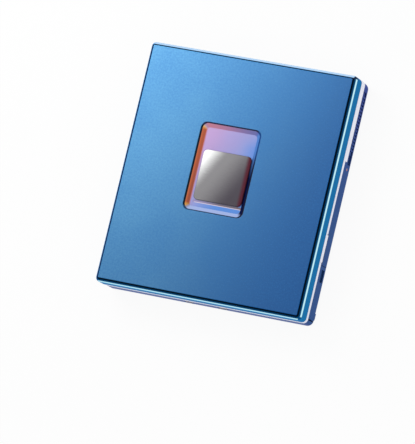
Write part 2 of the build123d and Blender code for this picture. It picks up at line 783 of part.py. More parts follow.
def make_rod_clips():
    # Blocks under the chassis that hold both ends of the two rods.
    with BuildPart() as clips:
        for x, radius in ((guide_x, guide_radius), (support_x, support_radius)):
            for y in (inner_clip_y, outer_clip_y):
                clip_y = (y, y + shaft_clip_length)
                block(around(x, 2 * (radius + clip_wall)), clip_y, (guide_z - radius - clip_floor, chassis_bottom))
                rod(x, guide_z, clip_y, radius + socket_ease, Mode.SUBTRACT)
    return clips


def make_optical_pickup():
    # Die-cast sled: a bushing on the guide rod, a fork on the support rod, the lens well
    # and an arm with a half nut beside the lead screw.
    sled_y = (pickup_bottom_y, pickup_bottom_y + pickup_length)
    barrel = guide_radius + barrel_wall
    with BuildPart() as pickup:
        block((guide_x, support_x + support_radius + fork_wall), sled_y, (pickup_floor, pickup_top))
        rod(guide_x, guide_z, sled_y, barrel)
        # Waist cut on both flanks of the sled, clear of the bushing
        for y in (sled_y[0], sled_y[1]):
            block((disc_x + lens_radius + waist_inset, support_x + waist_end), around(y, waist_width),
                  (pickup_floor - cut_margin, pickup_top + cut_margin), Mode.SUBTRACT)
        rod(guide_x, guide_z, sled_y, guide_radius + running_clearance, Mode.SUBTRACT)
        block((support_x - support_radius - motion_gap, support_x + 3 * support_radius), sled_y,
              around(guide_z, 2 * (support_radius + running_clearance)), Mode.SUBTRACT)
        post(disc_x, lens_start_radius, (lens_floor - lens_travel - seam_gap, pickup_top + cut_margin),
             lens_radius + motion_gap, Mode.SUBTRACT)
        block((lead_screw_x + lead_screw_radius + seam_gap, guide_x - guide_radius - motion_gap),
              around(lens_start_radius, nut_width), around(drive_z, nut_height))
    return pickup


def make_objective_lens():
    # A short barrel in the sled's well with the domed lens on top.
    dome_radius = lens_radius - 0.4
    with BuildPart() as lens:
        post(disc_x, lens_start_radius, (lens_floor, lens_top - lens_dome), lens_radius)
        post(disc_x, lens_start_radius, (lens_top - lens_dome, lens_top), dome_radius)
        chamfer(lens.faces().sort_by(Axis.Z)[-1].edges(), length=0.6 * lens_dome)
    return lens


def gear_outline(teeth, first_angle):
    # Tapered teeth on a root circle, drawn in the sketch being built.
    pitch = gear_module * teeth / 2
    root = pitch - 1.2 * gear_module
    tip = pitch + 0.9 * gear_module
    tooth_root = 0.9 * gear_module
    tooth_tip = 0.35 * gear_module
    Circle(root)
    with PolarLocations(0, teeth, start_angle=first_angle):
        Polygon((root - 0.1, -tooth_root), (tip, -tooth_tip), (tip, tooth_tip), (root - 0.1, tooth_root),
                align=None)


def make_lead_screw():
    # A plain rolled screw with its gear at the motor end.
    with BuildPart() as screw:
        with BuildSketch(Plane.XZ.offset(-gear_y[1])):
            with Locations((lead_screw_x, drive_z)):
                gear_outline(gear_teeth, 0)
        extrude(amount=gear_width)
        rod(lead_screw_x, drive_z, (gear_y[0], screw_end_y), lead_screw_radius - journal_step)
        rod(lead_screw_x, drive_z, (gear_y[1] + journal_stop, outer_clip_y - hinge_gap), lead_screw_radius)
    return screw


def make_screw_bearings():
    # Two hangers under the chassis carry the screw's journals.
    journal = lead_screw_radius - journal_step
    inner_hanger = (gear_y[0] - seam_gap - hanger_length, gear_y[0] - seam_gap)
    with BuildPart() as bearings:
        for y in (inner_hanger, (outer_clip_y, outer_clip_y + shaft_clip_length)):
            block(around(lead_screw_x, hanger_width), y, (drive_z - hanger_drop, chassis_bottom))
            rod(lead_screw_x, drive_z, y, journal + running_clearance, Mode.SUBTRACT)
    return bearings


def make_feed_motor():
    # A small can motor, flattened top and bottom, under the chassis.
    with BuildPart() as motor:
        rod(pinion_x, drive_z, motor_y, feed_motor_radius)
        rod(pinion_x, drive_z, (motor_y[1], motor_y[1] + snout_length), snout_radius)
        block(around(pinion_x, saddle_width), (motor_y[0] + hanger_length, motor_y[1] - hanger_length),
              (drive_z, chassis_bottom))
        rod(pinion_x, drive_z, (motor_y[1] - motor_shaft_depth, motor_y[1] + cut_margin),
            motor_shaft_radius + running_clearance, Mode.SUBTRACT)
    return motor


def make_motor_pinion():
    with BuildPart() as pinion:
        with BuildSketch(Plane.XZ.offset(-gear_y[1])):
            with Locations((pinion_x, drive_z)):
                gear_outline(pinion_teeth, 180 / pinion_teeth)
        extrude(amount=gear_width)
        rod(pinion_x, drive_z, (motor_y[1] - motor_shaft_depth + hanger_drop, gear_y[1]), motor_shaft_radius)
    return pinion


# ---------------------------------------------------------------- keys and slides
def make_open_slide():
    # Ribbed cap flush with the wall; its stem passes the slot to the latch bar.
    face_x = right - 0.3
    with BuildPart() as slide:
        block((right - slide_recess + 0.05, face_x), (open_slide_bottom, open_slide_top),
              around(slide_z, open_slide_height))
        rib_count = int((open_slide_length - 2.0) / rib_pitch)
        with Locations((right - 0.2, (open_slide_bottom + open_slide_top) / 2, slide_z)):
            with GridLocations(0, rib_pitch, 1, rib_count):
                Box(0.4, rib_pitch * 0.5, open_slide_height - 0.5)
        block((latch_bar_x + latch_bar_thickness, face_x), (stem_bottom, stem_top), around(slide_z, stem_height))
    return slide


def make_latch_bar():
    # Flat steel bar with a riser and the nose that holds the lid's catch.
    bar_x = (latch_bar_x, latch_bar_x + latch_bar_thickness)
    riser_bottom = catch_y - 3.0
    with BuildPart() as bar:
        block(bar_x, (stem_bottom - 2.0, catch_y - 1.0), around(slide_z, open_slide_height - 0.2))
        block(bar_x, (riser_bottom, catch_y - 1.0), (slide_z, nose_z[1]))
        block(bar_x, (riser_bottom, catch_y - latch_gap), nose_z)
    return bar


def make_play_key():
    # Silver key with a flange and a leg down to its switch.
    key_y = (play_key_bottom, play_key_top)
    with BuildPart() as key:
        block((key_flange_x, right - seam_gap / 2), key_y, (play_key_low, play_key_high))
        block((key_flange_x, inner_right - seam_gap), (key_y[0] + 0.1, key_y[1] + 0.8),
              (play_switch_z - 0.7, play_key_low + 0.4))
    return key


def make_rocker(x):
    # Cap in the end wall, wider flange behind it and a ridge that it rocks on.
    flange_y = (rocker_pivot_y + 0.25, rocker_pivot_y + 0.85)
    with BuildPart() as rocker:
        block(around(x, rocker_length), (flange_y[0], top - seam_gap / 2), around(end_key_z, rocker_height))
        block(around(x, rocker_length + 1.0), flange_y, around(end_key_z, rocker_height + 0.8))
        post(x, rocker_pivot_y, around(end_key_z, rocker_height - 0.6), rocker_ridge)
    return rocker


def make_hold_slide():
    with BuildPart() as slide:
        block((hold_x, hold_x + hold_knob_length), (inner_top - 0.5, top - seam_gap / 2),
              around(end_key_z, rocker_height - 2 * seam_gap))
        block((hold_x - 2.0, hold_x + hold_knob_length + hold_travel), (inner_top - 0.55, inner_top - 0.1),
              around(end_key_z, rocker_height + 0.4))
        for rib in range(3):
            block(around(hold_x + hold_knob_length / 2 + (rib - 1) * 1.2, 0.5), (top - 0.2, top),
                  around(end_key_z, rocker_height - 0.8))
    return slide


def make_phone_jack():
    with BuildPart() as jack:
        block(around(jack_x, jack_width), (jack_bottom_y, inner_top - seam_gap), around(jack_z, jack_height))
        rod(jack_x, jack_z, (inner_top - 1.0, top - seam_gap), jack_collar_radius)
        rod(jack_x, jack_z, (top - seam_gap - jack_length, top), plug_diameter / 2 + 0.05, Mode.SUBTRACT)
    return jack


def make_charge_contacts():
    with BuildPart() as contacts:
        for side in (-1, 1):
            x = side * contact_pad_spacing / 2
            block(around(x, contact_pad_width), (bottom + seam_gap, inner_bottom + 0.4),
                  around(end_key_z, contact_pad_height))
            block(around(x, contact_pad_width + 1.2), (inner_bottom, inner_bottom + 0.4),
                  around(end_key_z, contact_pad_height + 1.2))
    return contacts


def make_lamp_lens():
    with BuildPart() as lamp:
        with Locations(Location((right - case_wall / 2 - 0.1, lamp_y, slide_z), (0, 90, 0))):
            Cylinder(lamp_radius - 0.02, case_wall + 0.1)
    return lamp


# ---------------------------------------------------------------- battery
def make_battery():
    # Flat rechargeable cell with rounded long edges and a raised terminal at the door end.
    with BuildPart() as battery:
        with BuildSketch(Plane.YZ.offset(battery_left_x)):
            with Locations(((battery_bottom_y + battery_top_y) / 2, battery_z + battery_thickness / 2)):
                RectangleRounded(battery_width, battery_thickness, 1.2)
        extrude(amount=battery_length - 0.8)
        with BuildSketch(Plane.YZ.offset(battery_left_x)):
            with Locations(((battery_bottom_y + battery_top_y) / 2, battery_z + battery_thickness / 2)):
                RectangleRounded(battery_width - 8.0, battery_thickness - 2.4, 0.8)
        extrude(amount=battery_length)
    return battery


def make_battery_contact():
    # Sprung terminal at the closed end of the bay.
    middle_y = (battery_bottom_y + battery_top_y) / 2
    middle_z = battery_z + battery_thickness / 2
    with BuildPart() as contact:
        block((inner_left + 0.02, inner_left + 0.4), around(middle_y, 12.0), around(middle_z, 4.4))
        with BuildSketch(Plane.XY.offset(middle_z - 1.5)):
            with BuildLine():
                Polyline((inner_left + 0.4, middle_y - 4.0), (battery_left_x, middle_y - 0.6),
                         (battery_left_x, middle_y + 0.6), (inner_left + 0.4, middle_y + 4.0),
                         (inner_left + 0.4, middle_y + 3.0), (battery_left_x - 0.35, middle_y + 0.4),
                         (battery_left_x - 0.35, middle_y - 0.4), (inner_left + 0.4, middle_y - 3.0), close=True)
            make_face()
        extrude(amount=3.0)
    return contact


def make_battery_door():
    # The stretch of side wall that swings out; its lower end is rounded about the door pin.
    door_y_span = (door_y, door_top_y - seam_gap / 2)
    with BuildPart() as door:
        with BuildSketch():
            RectangleRounded(case_width, case_height, shell_corner)
        extrude(amount=shell_height)
        fillet(door.faces().sort_by(Axis.Z)[0].edges(), radius=back_edge_radius)
        block((door_inner_x, right), door_y_span, (case_wall + seam_gap, shell_height - seam_gap), Mode.INTERSECT)
        post(door_x, door_y, (case_wall + seam_gap, shell_height - seam_gap), door_knuckle_radius)
        block((door_x, right), (door_y, door_y + door_knuckle_radius + 0.4),
              (case_wall + seam_gap, case_wall + seam_gap + back_edge_radius), Mode.ADD)
        post(door_x, door_y, (0, shell_height), door_pin_radius + running_clearance, Mode.SUBTRACT)
        # Fingernail notch near the free end
        block((right - notch_depth, right + cut_margin), (door_top_y - 5.2, door_top_y - 1.2),
              around(slide_z, 2.4), Mode.SUBTRACT)
    return door


def make_door_contact():
    middle_y = (battery_bottom_y + battery_top_y) / 2
    with BuildPart() as contact:
        block((battery_left_x + battery_length + hinge_gap, door_inner_x), around(middle_y, 6.0),
              around(battery_z + battery_thickness / 2, 2.4))
    return contact


def make_door_pin():
    with BuildPart() as pin:
        post(door_x, door_y, (case_wall - 0.3, shell_height + door_socket), door_pin_radius)
    return pin


# ---------------------------------------------------------------- export
def finish(piece, name):
    piece.part.label = name
    export_step(piece.part, f"parts/{name}.step")


os.makedirs("parts", exist_ok=True)
finish(make_bottom_shell(), "bottom_shell")
finish(make_mid_frame(), "mid_frame")
finish(make_lid(), "lid")
finish(make_window_pane(), "window_pane")
finish(make_window_bezel(), "window_bezel")
finish(make_badge_plate(), "badge_plate")
finish(make_lid_catch(), "lid_catch")
finish(make_hinge_pins(), "hinge_pins")
finish(make_disc_holder(), "disc_holder")
finish(make_chassis_plate(), "chassis_plate")
finish(make_case_screws(), "case_screws")
finish(make_chassis_screws(), "chassis_screws")
finish(make_main_board(), "main_board")
finish(make_board_chips(), "board_chips")
finish(make_tact_switches(), "tact_switches")
finish(make_spindle_motor(), "spindle_motor")
finish(make_turntable(), "turntable")
finish(make_guide_rods(), "guide_rod")
finish(make_support_rod(), "support_rod")
finish(make_rod_clips(), "rod_clips")
finish(make_optical_pickup(), "optical_pickup")
finish(make_objective_lens(), "objective_lens")
finish(make_lead_screw(), "lead_screw")
finish(make_screw_bearings(), "screw_bearings")
finish(make_feed_motor(), "feed_motor")
finish(make_motor_pinion(), "motor_pinion")
finish(make_open_slide(), "open_slide")
finish(make_latch_bar(), "latch_bar")
finish(make_play_key(), "play_key")
finish(make_rocker(volume_x), "volume_rocker")
finish(make_rocker(track_x), "track_rocker")
finish(make_hold_slide(), "hold_slide")
finish(make_phone_jack(), "phone_jack")
finish(make_charge_contacts(), "charge_contacts")
finish(make_lamp_lens(), "lamp_lens")
finish(make_battery(), "battery")
finish(make_battery_contact(), "battery_contact")
finish(make_battery_door(), "battery_door")
finish(make_door_contact(), "door_contact")
finish(make_door_pin(), "door_pin")
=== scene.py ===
import bmesh
import bpy
import json
import math
import random
from mathutils import Matrix, Vector
from mathutils.bvhtree import BVHTree


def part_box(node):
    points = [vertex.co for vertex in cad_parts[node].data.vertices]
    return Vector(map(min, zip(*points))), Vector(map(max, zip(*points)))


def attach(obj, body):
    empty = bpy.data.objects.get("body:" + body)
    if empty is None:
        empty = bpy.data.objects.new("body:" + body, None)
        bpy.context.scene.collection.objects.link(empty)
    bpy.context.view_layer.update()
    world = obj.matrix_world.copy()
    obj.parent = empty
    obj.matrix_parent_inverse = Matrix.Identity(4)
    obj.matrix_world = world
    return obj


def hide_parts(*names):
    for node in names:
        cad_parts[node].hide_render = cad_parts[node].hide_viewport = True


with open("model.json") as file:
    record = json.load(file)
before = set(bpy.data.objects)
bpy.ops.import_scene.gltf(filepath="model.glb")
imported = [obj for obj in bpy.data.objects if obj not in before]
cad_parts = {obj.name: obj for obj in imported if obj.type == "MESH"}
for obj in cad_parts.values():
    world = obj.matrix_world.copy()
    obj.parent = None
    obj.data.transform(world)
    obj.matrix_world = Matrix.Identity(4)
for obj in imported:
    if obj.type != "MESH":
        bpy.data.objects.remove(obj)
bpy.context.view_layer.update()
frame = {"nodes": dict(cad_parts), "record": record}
mm = 0.001
weld = 0.0000015  # points closer together than this are one
print("frame loaded:", len(frame["nodes"]), "nodes")


class Wire:
    # One output socket, so that node maths reads as plain arithmetic.
    def __init__(self, board, socket):
        self.board = board
        self.socket = socket

    def maths(self, operation, other, swapped=False):
        first, second = (other, self) if swapped else (self, other)
        return self.board.wire("ShaderNodeMath", {"operation": operation}, {0: first, 1: second})

    def __add__(self, other):
        return self.maths("ADD", other)

    def __radd__(self, other):
        return self.maths("ADD", other, True)

    def __sub__(self, other):
        return self.maths("SUBTRACT", other)

    def __rsub__(self, other):
        return self.maths("SUBTRACT", other, True)

    def __mul__(self, other):
        return self.maths("MULTIPLY", other)

    def __rmul__(self, other):
        return self.maths("MULTIPLY", other, True)

    def __truediv__(self, other):
        return self.maths("DIVIDE", other)

    def absolute(self):
        return self.maths("ABSOLUTE", 0.0)

    def atLeast(self, other):
        return self.maths("MAXIMUM", other)

    def root(self):
        return self.maths("SQRT", 0.0)

    def rises(self, low, high):
        # 0 below low, 1 above high, smooth between; low may be the larger of the two.
        return self.board.wire("ShaderNodeMapRange", {"interpolation_type": "SMOOTHSTEP"},
                               {"Value": self, "From Min": low, "From Max": high})

    def between(self, low, high, soft):
        return self.rises(low - soft, low + soft) * self.rises(high + soft, high - soft)


class Board:
    # A node tree: node() makes any node, wire() gives one of its outputs; a colour is three numbers.
    def __init__(self, tree):
        self.tree = tree

    def node(self, kind, settings=None, sockets=None):
        made = self.tree.nodes.new(kind)
        for name, value in (settings or {}).items():
            setattr(made, name, value)
        for key, value in (sockets or {}).items():
            socket = made.inputs[key]
            if isinstance(value, list):
                for wire in value:
                    self.tree.links.new(wire.socket, socket)
            elif isinstance(value, Wire):
                self.tree.links.new(value.socket, socket)
            elif socket.type == "RGBA":
                socket.default_value = (*value, 1.0)
            else:
                socket.default_value = value
        return made

    def wire(self, kind, settings=None, sockets=None, output=0):
        return Wire(self, self.node(kind, settings, sockets).outputs[output])

    def blend(self, factor, first, second):
        return self.wire("ShaderNodeMix", {"data_type": "RGBA"}, {0: factor, 6: first, 7: second}, 2)

    def noise(self, place, scale, detail=2.0, roughness=0.5):
        return self.wire("ShaderNodeTexNoise", None,
                         {"Vector": place, "Scale": scale, "Detail": detail, "Roughness": roughness})

    def clearRays(self):
        # 1 for the rays that see the white surroundings: from the camera, off metal or through glass.
        rays = self.node("ShaderNodeLightPath")
        camera, glossy, through = (Wire(self, rays.outputs[name]) for name in
                                   ("Is Camera Ray", "Is Glossy Ray", "Is Transmission Ray"))
        return camera + glossy + through


class Grower:
    # A geometry tree with named inputs; sizes gives each input's name and its value.
    kinds = {float: "NodeSocketFloat", int: "NodeSocketInt", bpy.types.Material: "NodeSocketMaterial"}

    def __init__(self, name, sizes, material):
        self.group = bpy.data.node_groups.new(name, "GeometryNodeTree")
        self.board = Board(self.group)
        self.values = dict(sizes, finish=material)
        self.identifiers = {}
        self.group.interface.new_socket("Geometry", in_out="INPUT", socket_type="NodeSocketGeometry")
        for key, value in self.values.items():
            made = self.group.interface.new_socket(key, in_out="INPUT", socket_type=self.kinds[type(value)])
            self.identifiers[key] = made.identifier
        self.group.interface.new_socket("Geometry", in_out="OUTPUT", socket_type="NodeSocketGeometry")
        source = self.board.node("NodeGroupInput")
        self.given = Wire(self.board, source.outputs[0])
        self.sizes = {key: Wire(self.board, source.outputs[key]) for key in self.values}

    def vector(self, x=0.0, y=0.0, z=0.0):
        return self.board.wire("ShaderNodeCombineXYZ", None, {0: x, 1: y, 2: z})

    def moved(self, shape, x=0.0, y=0.0, z=0.0, turn=None):
        sockets = {"Geometry": shape, "Translation": self.vector(x, y, z)}
        if turn is not None:
            sockets["Rotation"] = turn
        return self.board.wire("GeometryNodeTransform", None, sockets)

    def joined(self, *shapes):
        return self.board.wire("GeometryNodeJoinGeometry", None, {0: list(shapes)})

    def real(self, shape):
        return self.board.wire("GeometryNodeRealizeInstances", None, {0: shape})

    def box(self, x, y, z):
        return self.board.wire("GeometryNodeMeshCube", None, {"Size": self.vector(x, y, z)})

    def round(self, sides, low, high, height):
        return self.board.wire("GeometryNodeMeshCone", None, {"Vertices": sides, "Radius Top": high,
                                                              "Radius Bottom": low, "Depth": height})

    def combined(self, operation, first, *others):
        # A union takes all its shapes in one socket, a difference takes the first apart from the rest.
        sockets = {1: [first, *others]} if operation == "UNION" else {0: first, 1: list(others)}
        return self.board.wire("GeometryNodeMeshBoolean", {"operation": operation, "solver": "EXACT"},
                               sockets)

    def lines(self):
        # The edges of the given mesh as curves.
        return self.board.wire("GeometryNodeMeshToCurve", None, {0: self.given})

    def alongLine(self):
        # The turn that lays a shape's X along the curve it stands on.
        tangent = self.board.wire("GeometryNodeInputTangent")
        return self.board.wire("FunctionNodeAlignRotationToVector", {"axis": "X"}, {"Vector": tangent})

    def placed(self, points, shape, rotation=None, scale=1.0):
        sockets = {"Points": points, "Instance": shape, "Scale": (scale, scale, scale)}
        if rotation is not None:
            sockets["Rotation"] = rotation
        return self.board.wire("GeometryNodeInstanceOnPoints", None, sockets)

    def close(self, shape):
        welded = self.board.wire("GeometryNodeMergeByDistance", None,
                                 {"Geometry": self.real(shape), "Distance": weld})
        done = self.board.wire("GeometryNodeSetMaterial", None,
                               {"Geometry": welded, "Material": self.sizes["finish"]})
        self.board.node("NodeGroupOutput", None, {0: done})

    def grow(self, name, places, edges=()):
        # Runs the tree on a mesh of places in millimetres and gives the plain result as a piece.
        data = bpy.data.meshes.new(name)
        data.from_pydata([tuple(part * mm for part in place) for place in places], edges, [])
        piece = bpy.data.objects.new(name, data)
        bpy.context.scene.collection.objects.link(piece)
        return self.growOn(piece)

    def growOn(self, piece):
        modifier = piece.modifiers.new("grower", "NODES")
        modifier.node_group = self.group
        for key, value in self.values.items():
            modifier[self.identifiers[key]] = value
        return applied(piece)


def shade(level):
    # A screen value from 0 to 255 as the linear value that a shader takes.
    value = level / 255.0
    return value / 12.92 if value <= 0.04045 else ((value + 0.055) / 1.055) ** 2.4


def tint(red, green, blue):
    return (shade(red), shade(green), shade(blue))


class Finish:
    # A material under construction: the board, the surface place and the surface normal.
    def __init__(self, name):
        self.material = bpy.data.materials.new(name)
        self.material.use_nodes = True
        self.material.node_tree.nodes.clear()
        self.board = Board(self.material.node_tree)
        coordinates = self.board.node("ShaderNodeTexCoord")
        self.place = Wire(self.board, coordinates.outputs["Object"])
        self.facing = Wire(self.board, coordinates.outputs["Normal"])

    def axes(self, vector):
        parts = self.board.node("ShaderNodeSeparateXYZ", None, {"Vector": vector})
        return [Wire(self.board, output) for output in parts.outputs]

    def stretched(self, scale):
        return self.board.wire("ShaderNodeMapping", None, {"Vector": self.place, "Scale": scale})

    def dented(self, height, depth):
        return self.board.wire("ShaderNodeBump", None, {"Strength": 1.0, "Distance": depth, "Height": height})

    def close(self, colour, roughness, metallic=0.0, normal=None, others=None):
        sockets = {"Base Color": colour, "Roughness": roughness, "Metallic": metallic, **(others or {})}
        if normal is not None:
            sockets["Normal"] = normal
        shader = self.board.wire("ShaderNodeBsdfPrincipled", None, sockets)
        self.board.node("ShaderNodeOutputMaterial", None, {"Surface": shader})
        return self.material


# Places and sizes in the finishes are in metres, as the shader nodes read them.
crisp = (-0.00005, 0.00005)  # over which a painted line begins
window = {"middle": (-0.00145, 0.00255), "half": (0.01025, 0.01435), "corner": 0.002}
windowShadowLine = {
    "left": tint(4, 3, 8), "head": tint(34, 22, 60), "headBand": (0.0012, 0.0006),
    "foot": tint(30, 66, 108), "footBand": (0.0014, 0.0008),
    "right": tint(14, 74, 146), "rightLow": tint(6, 8, 44), "rightBand": (0.0016, 0.0008),
    "rightTurn": (0.002, 0.009)}


def windowReach(x, y):
    # How far a place lies outside the window's rounded outline; negative inside.
    middleX, middleY = window["middle"]
    halfX, halfY = window["half"]
    beyondX = ((x - middleX).absolute() - (halfX - window["corner"])).atLeast(0.0)
    beyondY = ((y - middleY).absolute() - (halfY - window["corner"])).atLeast(0.0)
    return (beyondX * beyondX + beyondY * beyondY).root() - window["corner"]


def windowSide(distance, half, band):
    # 1 along the side that lies half away from the window's middle, 0 further in.
    return distance.rises(half - band[0], half - band[1])


def windowShadowLineColour(board, x, y):
    # The painted shadow line round the window, painted shade and dark reflection: black at the left, indigo
    # above, blue turning navy at the right.
    middleX, middleY = window["middle"]
    halfX, halfY = window["half"]
    low, high = windowShadowLine["rightTurn"]
    right = board.blend(y.rises(middleY + low, middleY + high), windowShadowLine["rightLow"], windowShadowLine["right"])
    colour = board.blend(windowSide(middleY - y, halfY, windowShadowLine["footBand"]),
                         windowShadowLine["left"], windowShadowLine["foot"])
    colour = board.blend(windowSide(y - middleY, halfY, windowShadowLine["headBand"]), colour, windowShadowLine["head"])
    return board.blend(windowSide(x - middleX, halfX, windowShadowLine["rightBand"]), colour, right)


anodised = {
    "high": tint(66, 122, 160), "low": tint(0, 66, 124), "paintedLightFade": (-0.05, 0.04), "fadeLean": 0.3,
    "deep": tint(14, 84, 142), "cloud": 45, "cloudRange": (0.35, 0.65), "cloudShare": 0.2,
    "grain": 1500, "grainRange": (0.35, 0.65), "grainShare": 0.3, "grainDepth": 0.000016,
    "glint": tint(72, 142, 196), "speckle": 2000, "speckleRange": (0.5, 0.75), "speckleShare": 0.12,
    "skirt": (0.0346, 0.0386), "skirtStart": 0.0001, "wall": tint(50, 120, 166), "wallLean": (0.3, 0.1),
    "slant": (0.06, 0.93, 0.04), "headLean": (0.3, 0.5), "cornerLean": (0.2, 0.4),
    "cut": tint(3, 6, 16), "cutFoot": tint(6, 76, 124), "cutZ": (0.01372, 0.01318),
    "headFootHighlight": tint(150, 196, 240), "headFootZ": (0.0137, 0.0136),
    "edge": tint(198, 246, 255), "edgeZ": (0.01244, 0.01308),
    "headEdge": tint(206, 230, 252), "headEdgeZ": 0.01345,
    "darkCornerReflection": tint(26, 22, 44), "darkLean": (0.22, 0.45), "darkZ": (0.0098, 0.0128),
    "line": (0.00026, 0.00016), "leftLine": 0.0002, "leftLineX": (-0.0085, -0.0098),
    "roughness": 0.38, "grainGloss": 0.12, "slantGloss": 0.18, "metallic": 0.92,
    "coat": 0.5, "coatRoughness": 0.36, "grazing": (0.2, 0.55, 0.95)}


def makeAnodised():
    # Blasted and dyed aluminium with painted light: a painted fade from light at the upper left to dark at
    # the lower right, a bright-cut chamfer painted as a dark reflection, a pale polished line below it that
    # is partly a painted highlight, and walls painted a darker tone.
    finish = Finish("lidAnodised")
    board = finish.board
    x, y, z = finish.axes(finish.place)
    normalX, normalY, normalZ = finish.axes(finish.facing)
    skirtX, skirtY = anodised["skirt"]
    outside = ((x.absolute() - skirtX).rises(0.0, anodised["skirtStart"])
               + (y.absolute() - skirtY).rises(0.0, anodised["skirtStart"])).rises(0.0, 1.0)
    slanted = normalZ.between(*anodised["slant"])
    headward = normalY.rises(*anodised["headLean"])

    grain = board.noise(finish.place, anodised["grain"], detail=3.0, roughness=0.7)
    speckle = board.noise(finish.place, anodised["speckle"], roughness=0.6)
    cloud = board.noise(finish.place, anodised["cloud"])
    # Painted light: the face is painted lighter towards the upper left and darker towards the lower right, as
    # the key lamp lights it.
    paintedLightFade = (y * anodised["fadeLean"] - x).rises(*anodised["paintedLightFade"])
    mottle = (cloud.rises(*anodised["cloudRange"]) * anodised["cloudShare"]
              + grain.rises(*anodised["grainRange"]) * anodised["grainShare"])
    glinting = speckle.rises(*anodised["speckleRange"]) * anodised["speckleShare"]
    colour = board.blend(paintedLightFade, anodised["low"], anodised["high"])
    colour = board.blend(mottle, colour, anodised["deep"])
    colour = board.blend(glinting, colour, anodised["glint"])
    # Painted shade: the sideways-facing walls of the skirt are painted in their own tone for how light falls
    # on them.
    colour = board.blend(normalZ.rises(*anodised["wallLean"]) * outside, colour, anodised["wall"])

    # Painted reflection: the chamfer is painted near black at its top, turning blue at its foot, as a dark
    # reflection; the foot of the head chamfer gets a pale painted highlight.
    paintedChamferReflection = board.blend(z.rises(*anodised["cutZ"]), anodised["cut"], anodised["cutFoot"])
    paintedChamferReflection = board.blend(headward * z.rises(*anodised["headFootZ"]), paintedChamferReflection, anodised["headFootHighlight"])
    colour = board.blend(slanted * outside, colour, paintedChamferReflection)

    leftward = (x - window["middle"][0]).rises(*anodised["leftLineX"])
    # Painted shade: a dark line round the window, wider at the left, where shade falls into the gap.
    line = (windowReach(x, y) - leftward * anodised["leftLine"]).rises(*anodised["line"])
    line = (slanted + line).rises(0.0, 1.0) * (1 - outside)
    colour = board.blend(line, colour, windowShadowLineColour(board, x, y))

    lowEdge, highEdge = anodised["edgeZ"]
    topEdge = headward * (anodised["headEdgeZ"] - highEdge) + highEdge
    turned = normalX.absolute().rises(*anodised["cornerLean"])
    corner = turned * normalY.absolute().rises(*anodised["cornerLean"])
    # The pale cyan edge below the chamfer is partly its bare polished metal and partly a painted highlight.
    polishedAndHighlit = (z - lowEdge).rises(*crisp) * (topEdge - z).rises(*crisp) * outside * (1 - corner)
    colour = board.blend(polishedAndHighlit, colour, board.blend(headward, anodised["edge"], anodised["headEdge"]))
    # Painted reflection: the skirt's rounded corner towards +x and +y is painted dark, as the chamfer's dark
    # reflection turning round it.
    dark = normalX.rises(*anodised["darkLean"]) * normalY.rises(*anodised["darkLean"])
    colour = board.blend(dark * z.rises(*anodised["darkZ"]) * outside, colour, anodised["darkCornerReflection"])

    roughness = anodised["roughness"] + (grain - 0.5) * anodised["grainGloss"]
    roughness = roughness - slanted * anodised["slantGloss"]
    metallic = anodised["metallic"] - line * anodised["metallic"]
    blasted = finish.dented(grain * (1 - slanted), anodised["grainDepth"])
    return finish.close(colour, roughness, metallic, blasted,
                        {"Coat Weight": (1 - outside) * (1 - line) * anodised["coat"],
                         "Coat Roughness": anodised["coatRoughness"], "Specular Tint": anodised["grazing"]})


painted = {
    "blue": tint(54, 92, 134), "shadow": tint(48, 82, 124), "cloud": 60, "cloudRange": (0.2, 0.8),
    "violet": tint(64, 50, 142), "violetShare": 0.4, "turn": (0.012, 0.058), "turnLean": 0.5,
    "rub": tint(76, 104, 158), "rubRange": (0.55, 0.72), "rubShare": 0.3,
    "grain": 4200, "grainDepth": 0.000006, "grainGloss": 0.12,
    "roughness": 0.36, "metallic": 0.8, "grazing": (0.42, 0.46, 0.88)}


def makePainted():
    # Metallic lacquer that turns violet towards the end with the keys.
    finish = Finish("shellLacquer")
    board = finish.board
    flake = board.noise(finish.place, painted["grain"], roughness=0.65)
    cloud = board.noise(finish.place, painted["cloud"])
    x, y = finish.axes(finish.place)[:2]
    keyward = (y + x * painted["turnLean"]).rises(*painted["turn"]) * painted["violetShare"]
    colour = board.blend(cloud.rises(*painted["cloudRange"]), painted["blue"], painted["shadow"])
    colour = board.blend(keyward, colour, painted["violet"])
    colour = board.blend(flake.rises(*painted["rubRange"]) * painted["rubShare"], colour, painted["rub"])
    roughness = painted["roughness"] + (flake - 0.5) * painted["grainGloss"]
    return finish.close(colour, roughness, painted["metallic"], finish.dented(flake, painted["grainDepth"]),
                        {"Specular Tint": painted["grazing"]})


metals = {"cloud": 120, "cloudRange": (0.3, 0.8), "cloudShare": 0.6, "cloudGloss": 0.08,
          "lineShare": 0.4, "lineGloss": 0.2}


def makeMetal(name, light, dark, roughness=0.3, brush=None, grain=3500, depth=0.000006, grooveShade=None):
    # Bare or plated metal; brush stretches the grain along an axis, the last argument paints shade over what
    # lies low in y, as in the bottoms of grooves.
    finish = Finish(name)
    board = finish.board
    line = board.noise(finish.stretched(brush) if brush else finish.place, grain, detail=3.0, roughness=0.6)
    cloud = board.noise(finish.place, metals["cloud"], detail=3.0)
    mottle = cloud.rises(*metals["cloudRange"]) * metals["cloudShare"] + line * metals["lineShare"]
    colour = board.blend(mottle, light, dark)
    if grooveShade:
        low, high, inside = grooveShade
        colour = board.blend(finish.axes(finish.place)[1].rises(low, high), inside, colour)
    uneven = (line - 0.5) * metals["lineGloss"] + (cloud - 0.5) * metals["cloudGloss"]
    return finish.close(colour, roughness + uneven, 1.0, finish.dented(line, depth))


plastics = {"cloud": 150, "cloudRange": (0.3, 0.75), "cloudShare": 0.7,
            "grain": 2600, "pitShare": 0.3, "pitGloss": 0.16, "pitDepth": 0.00001}


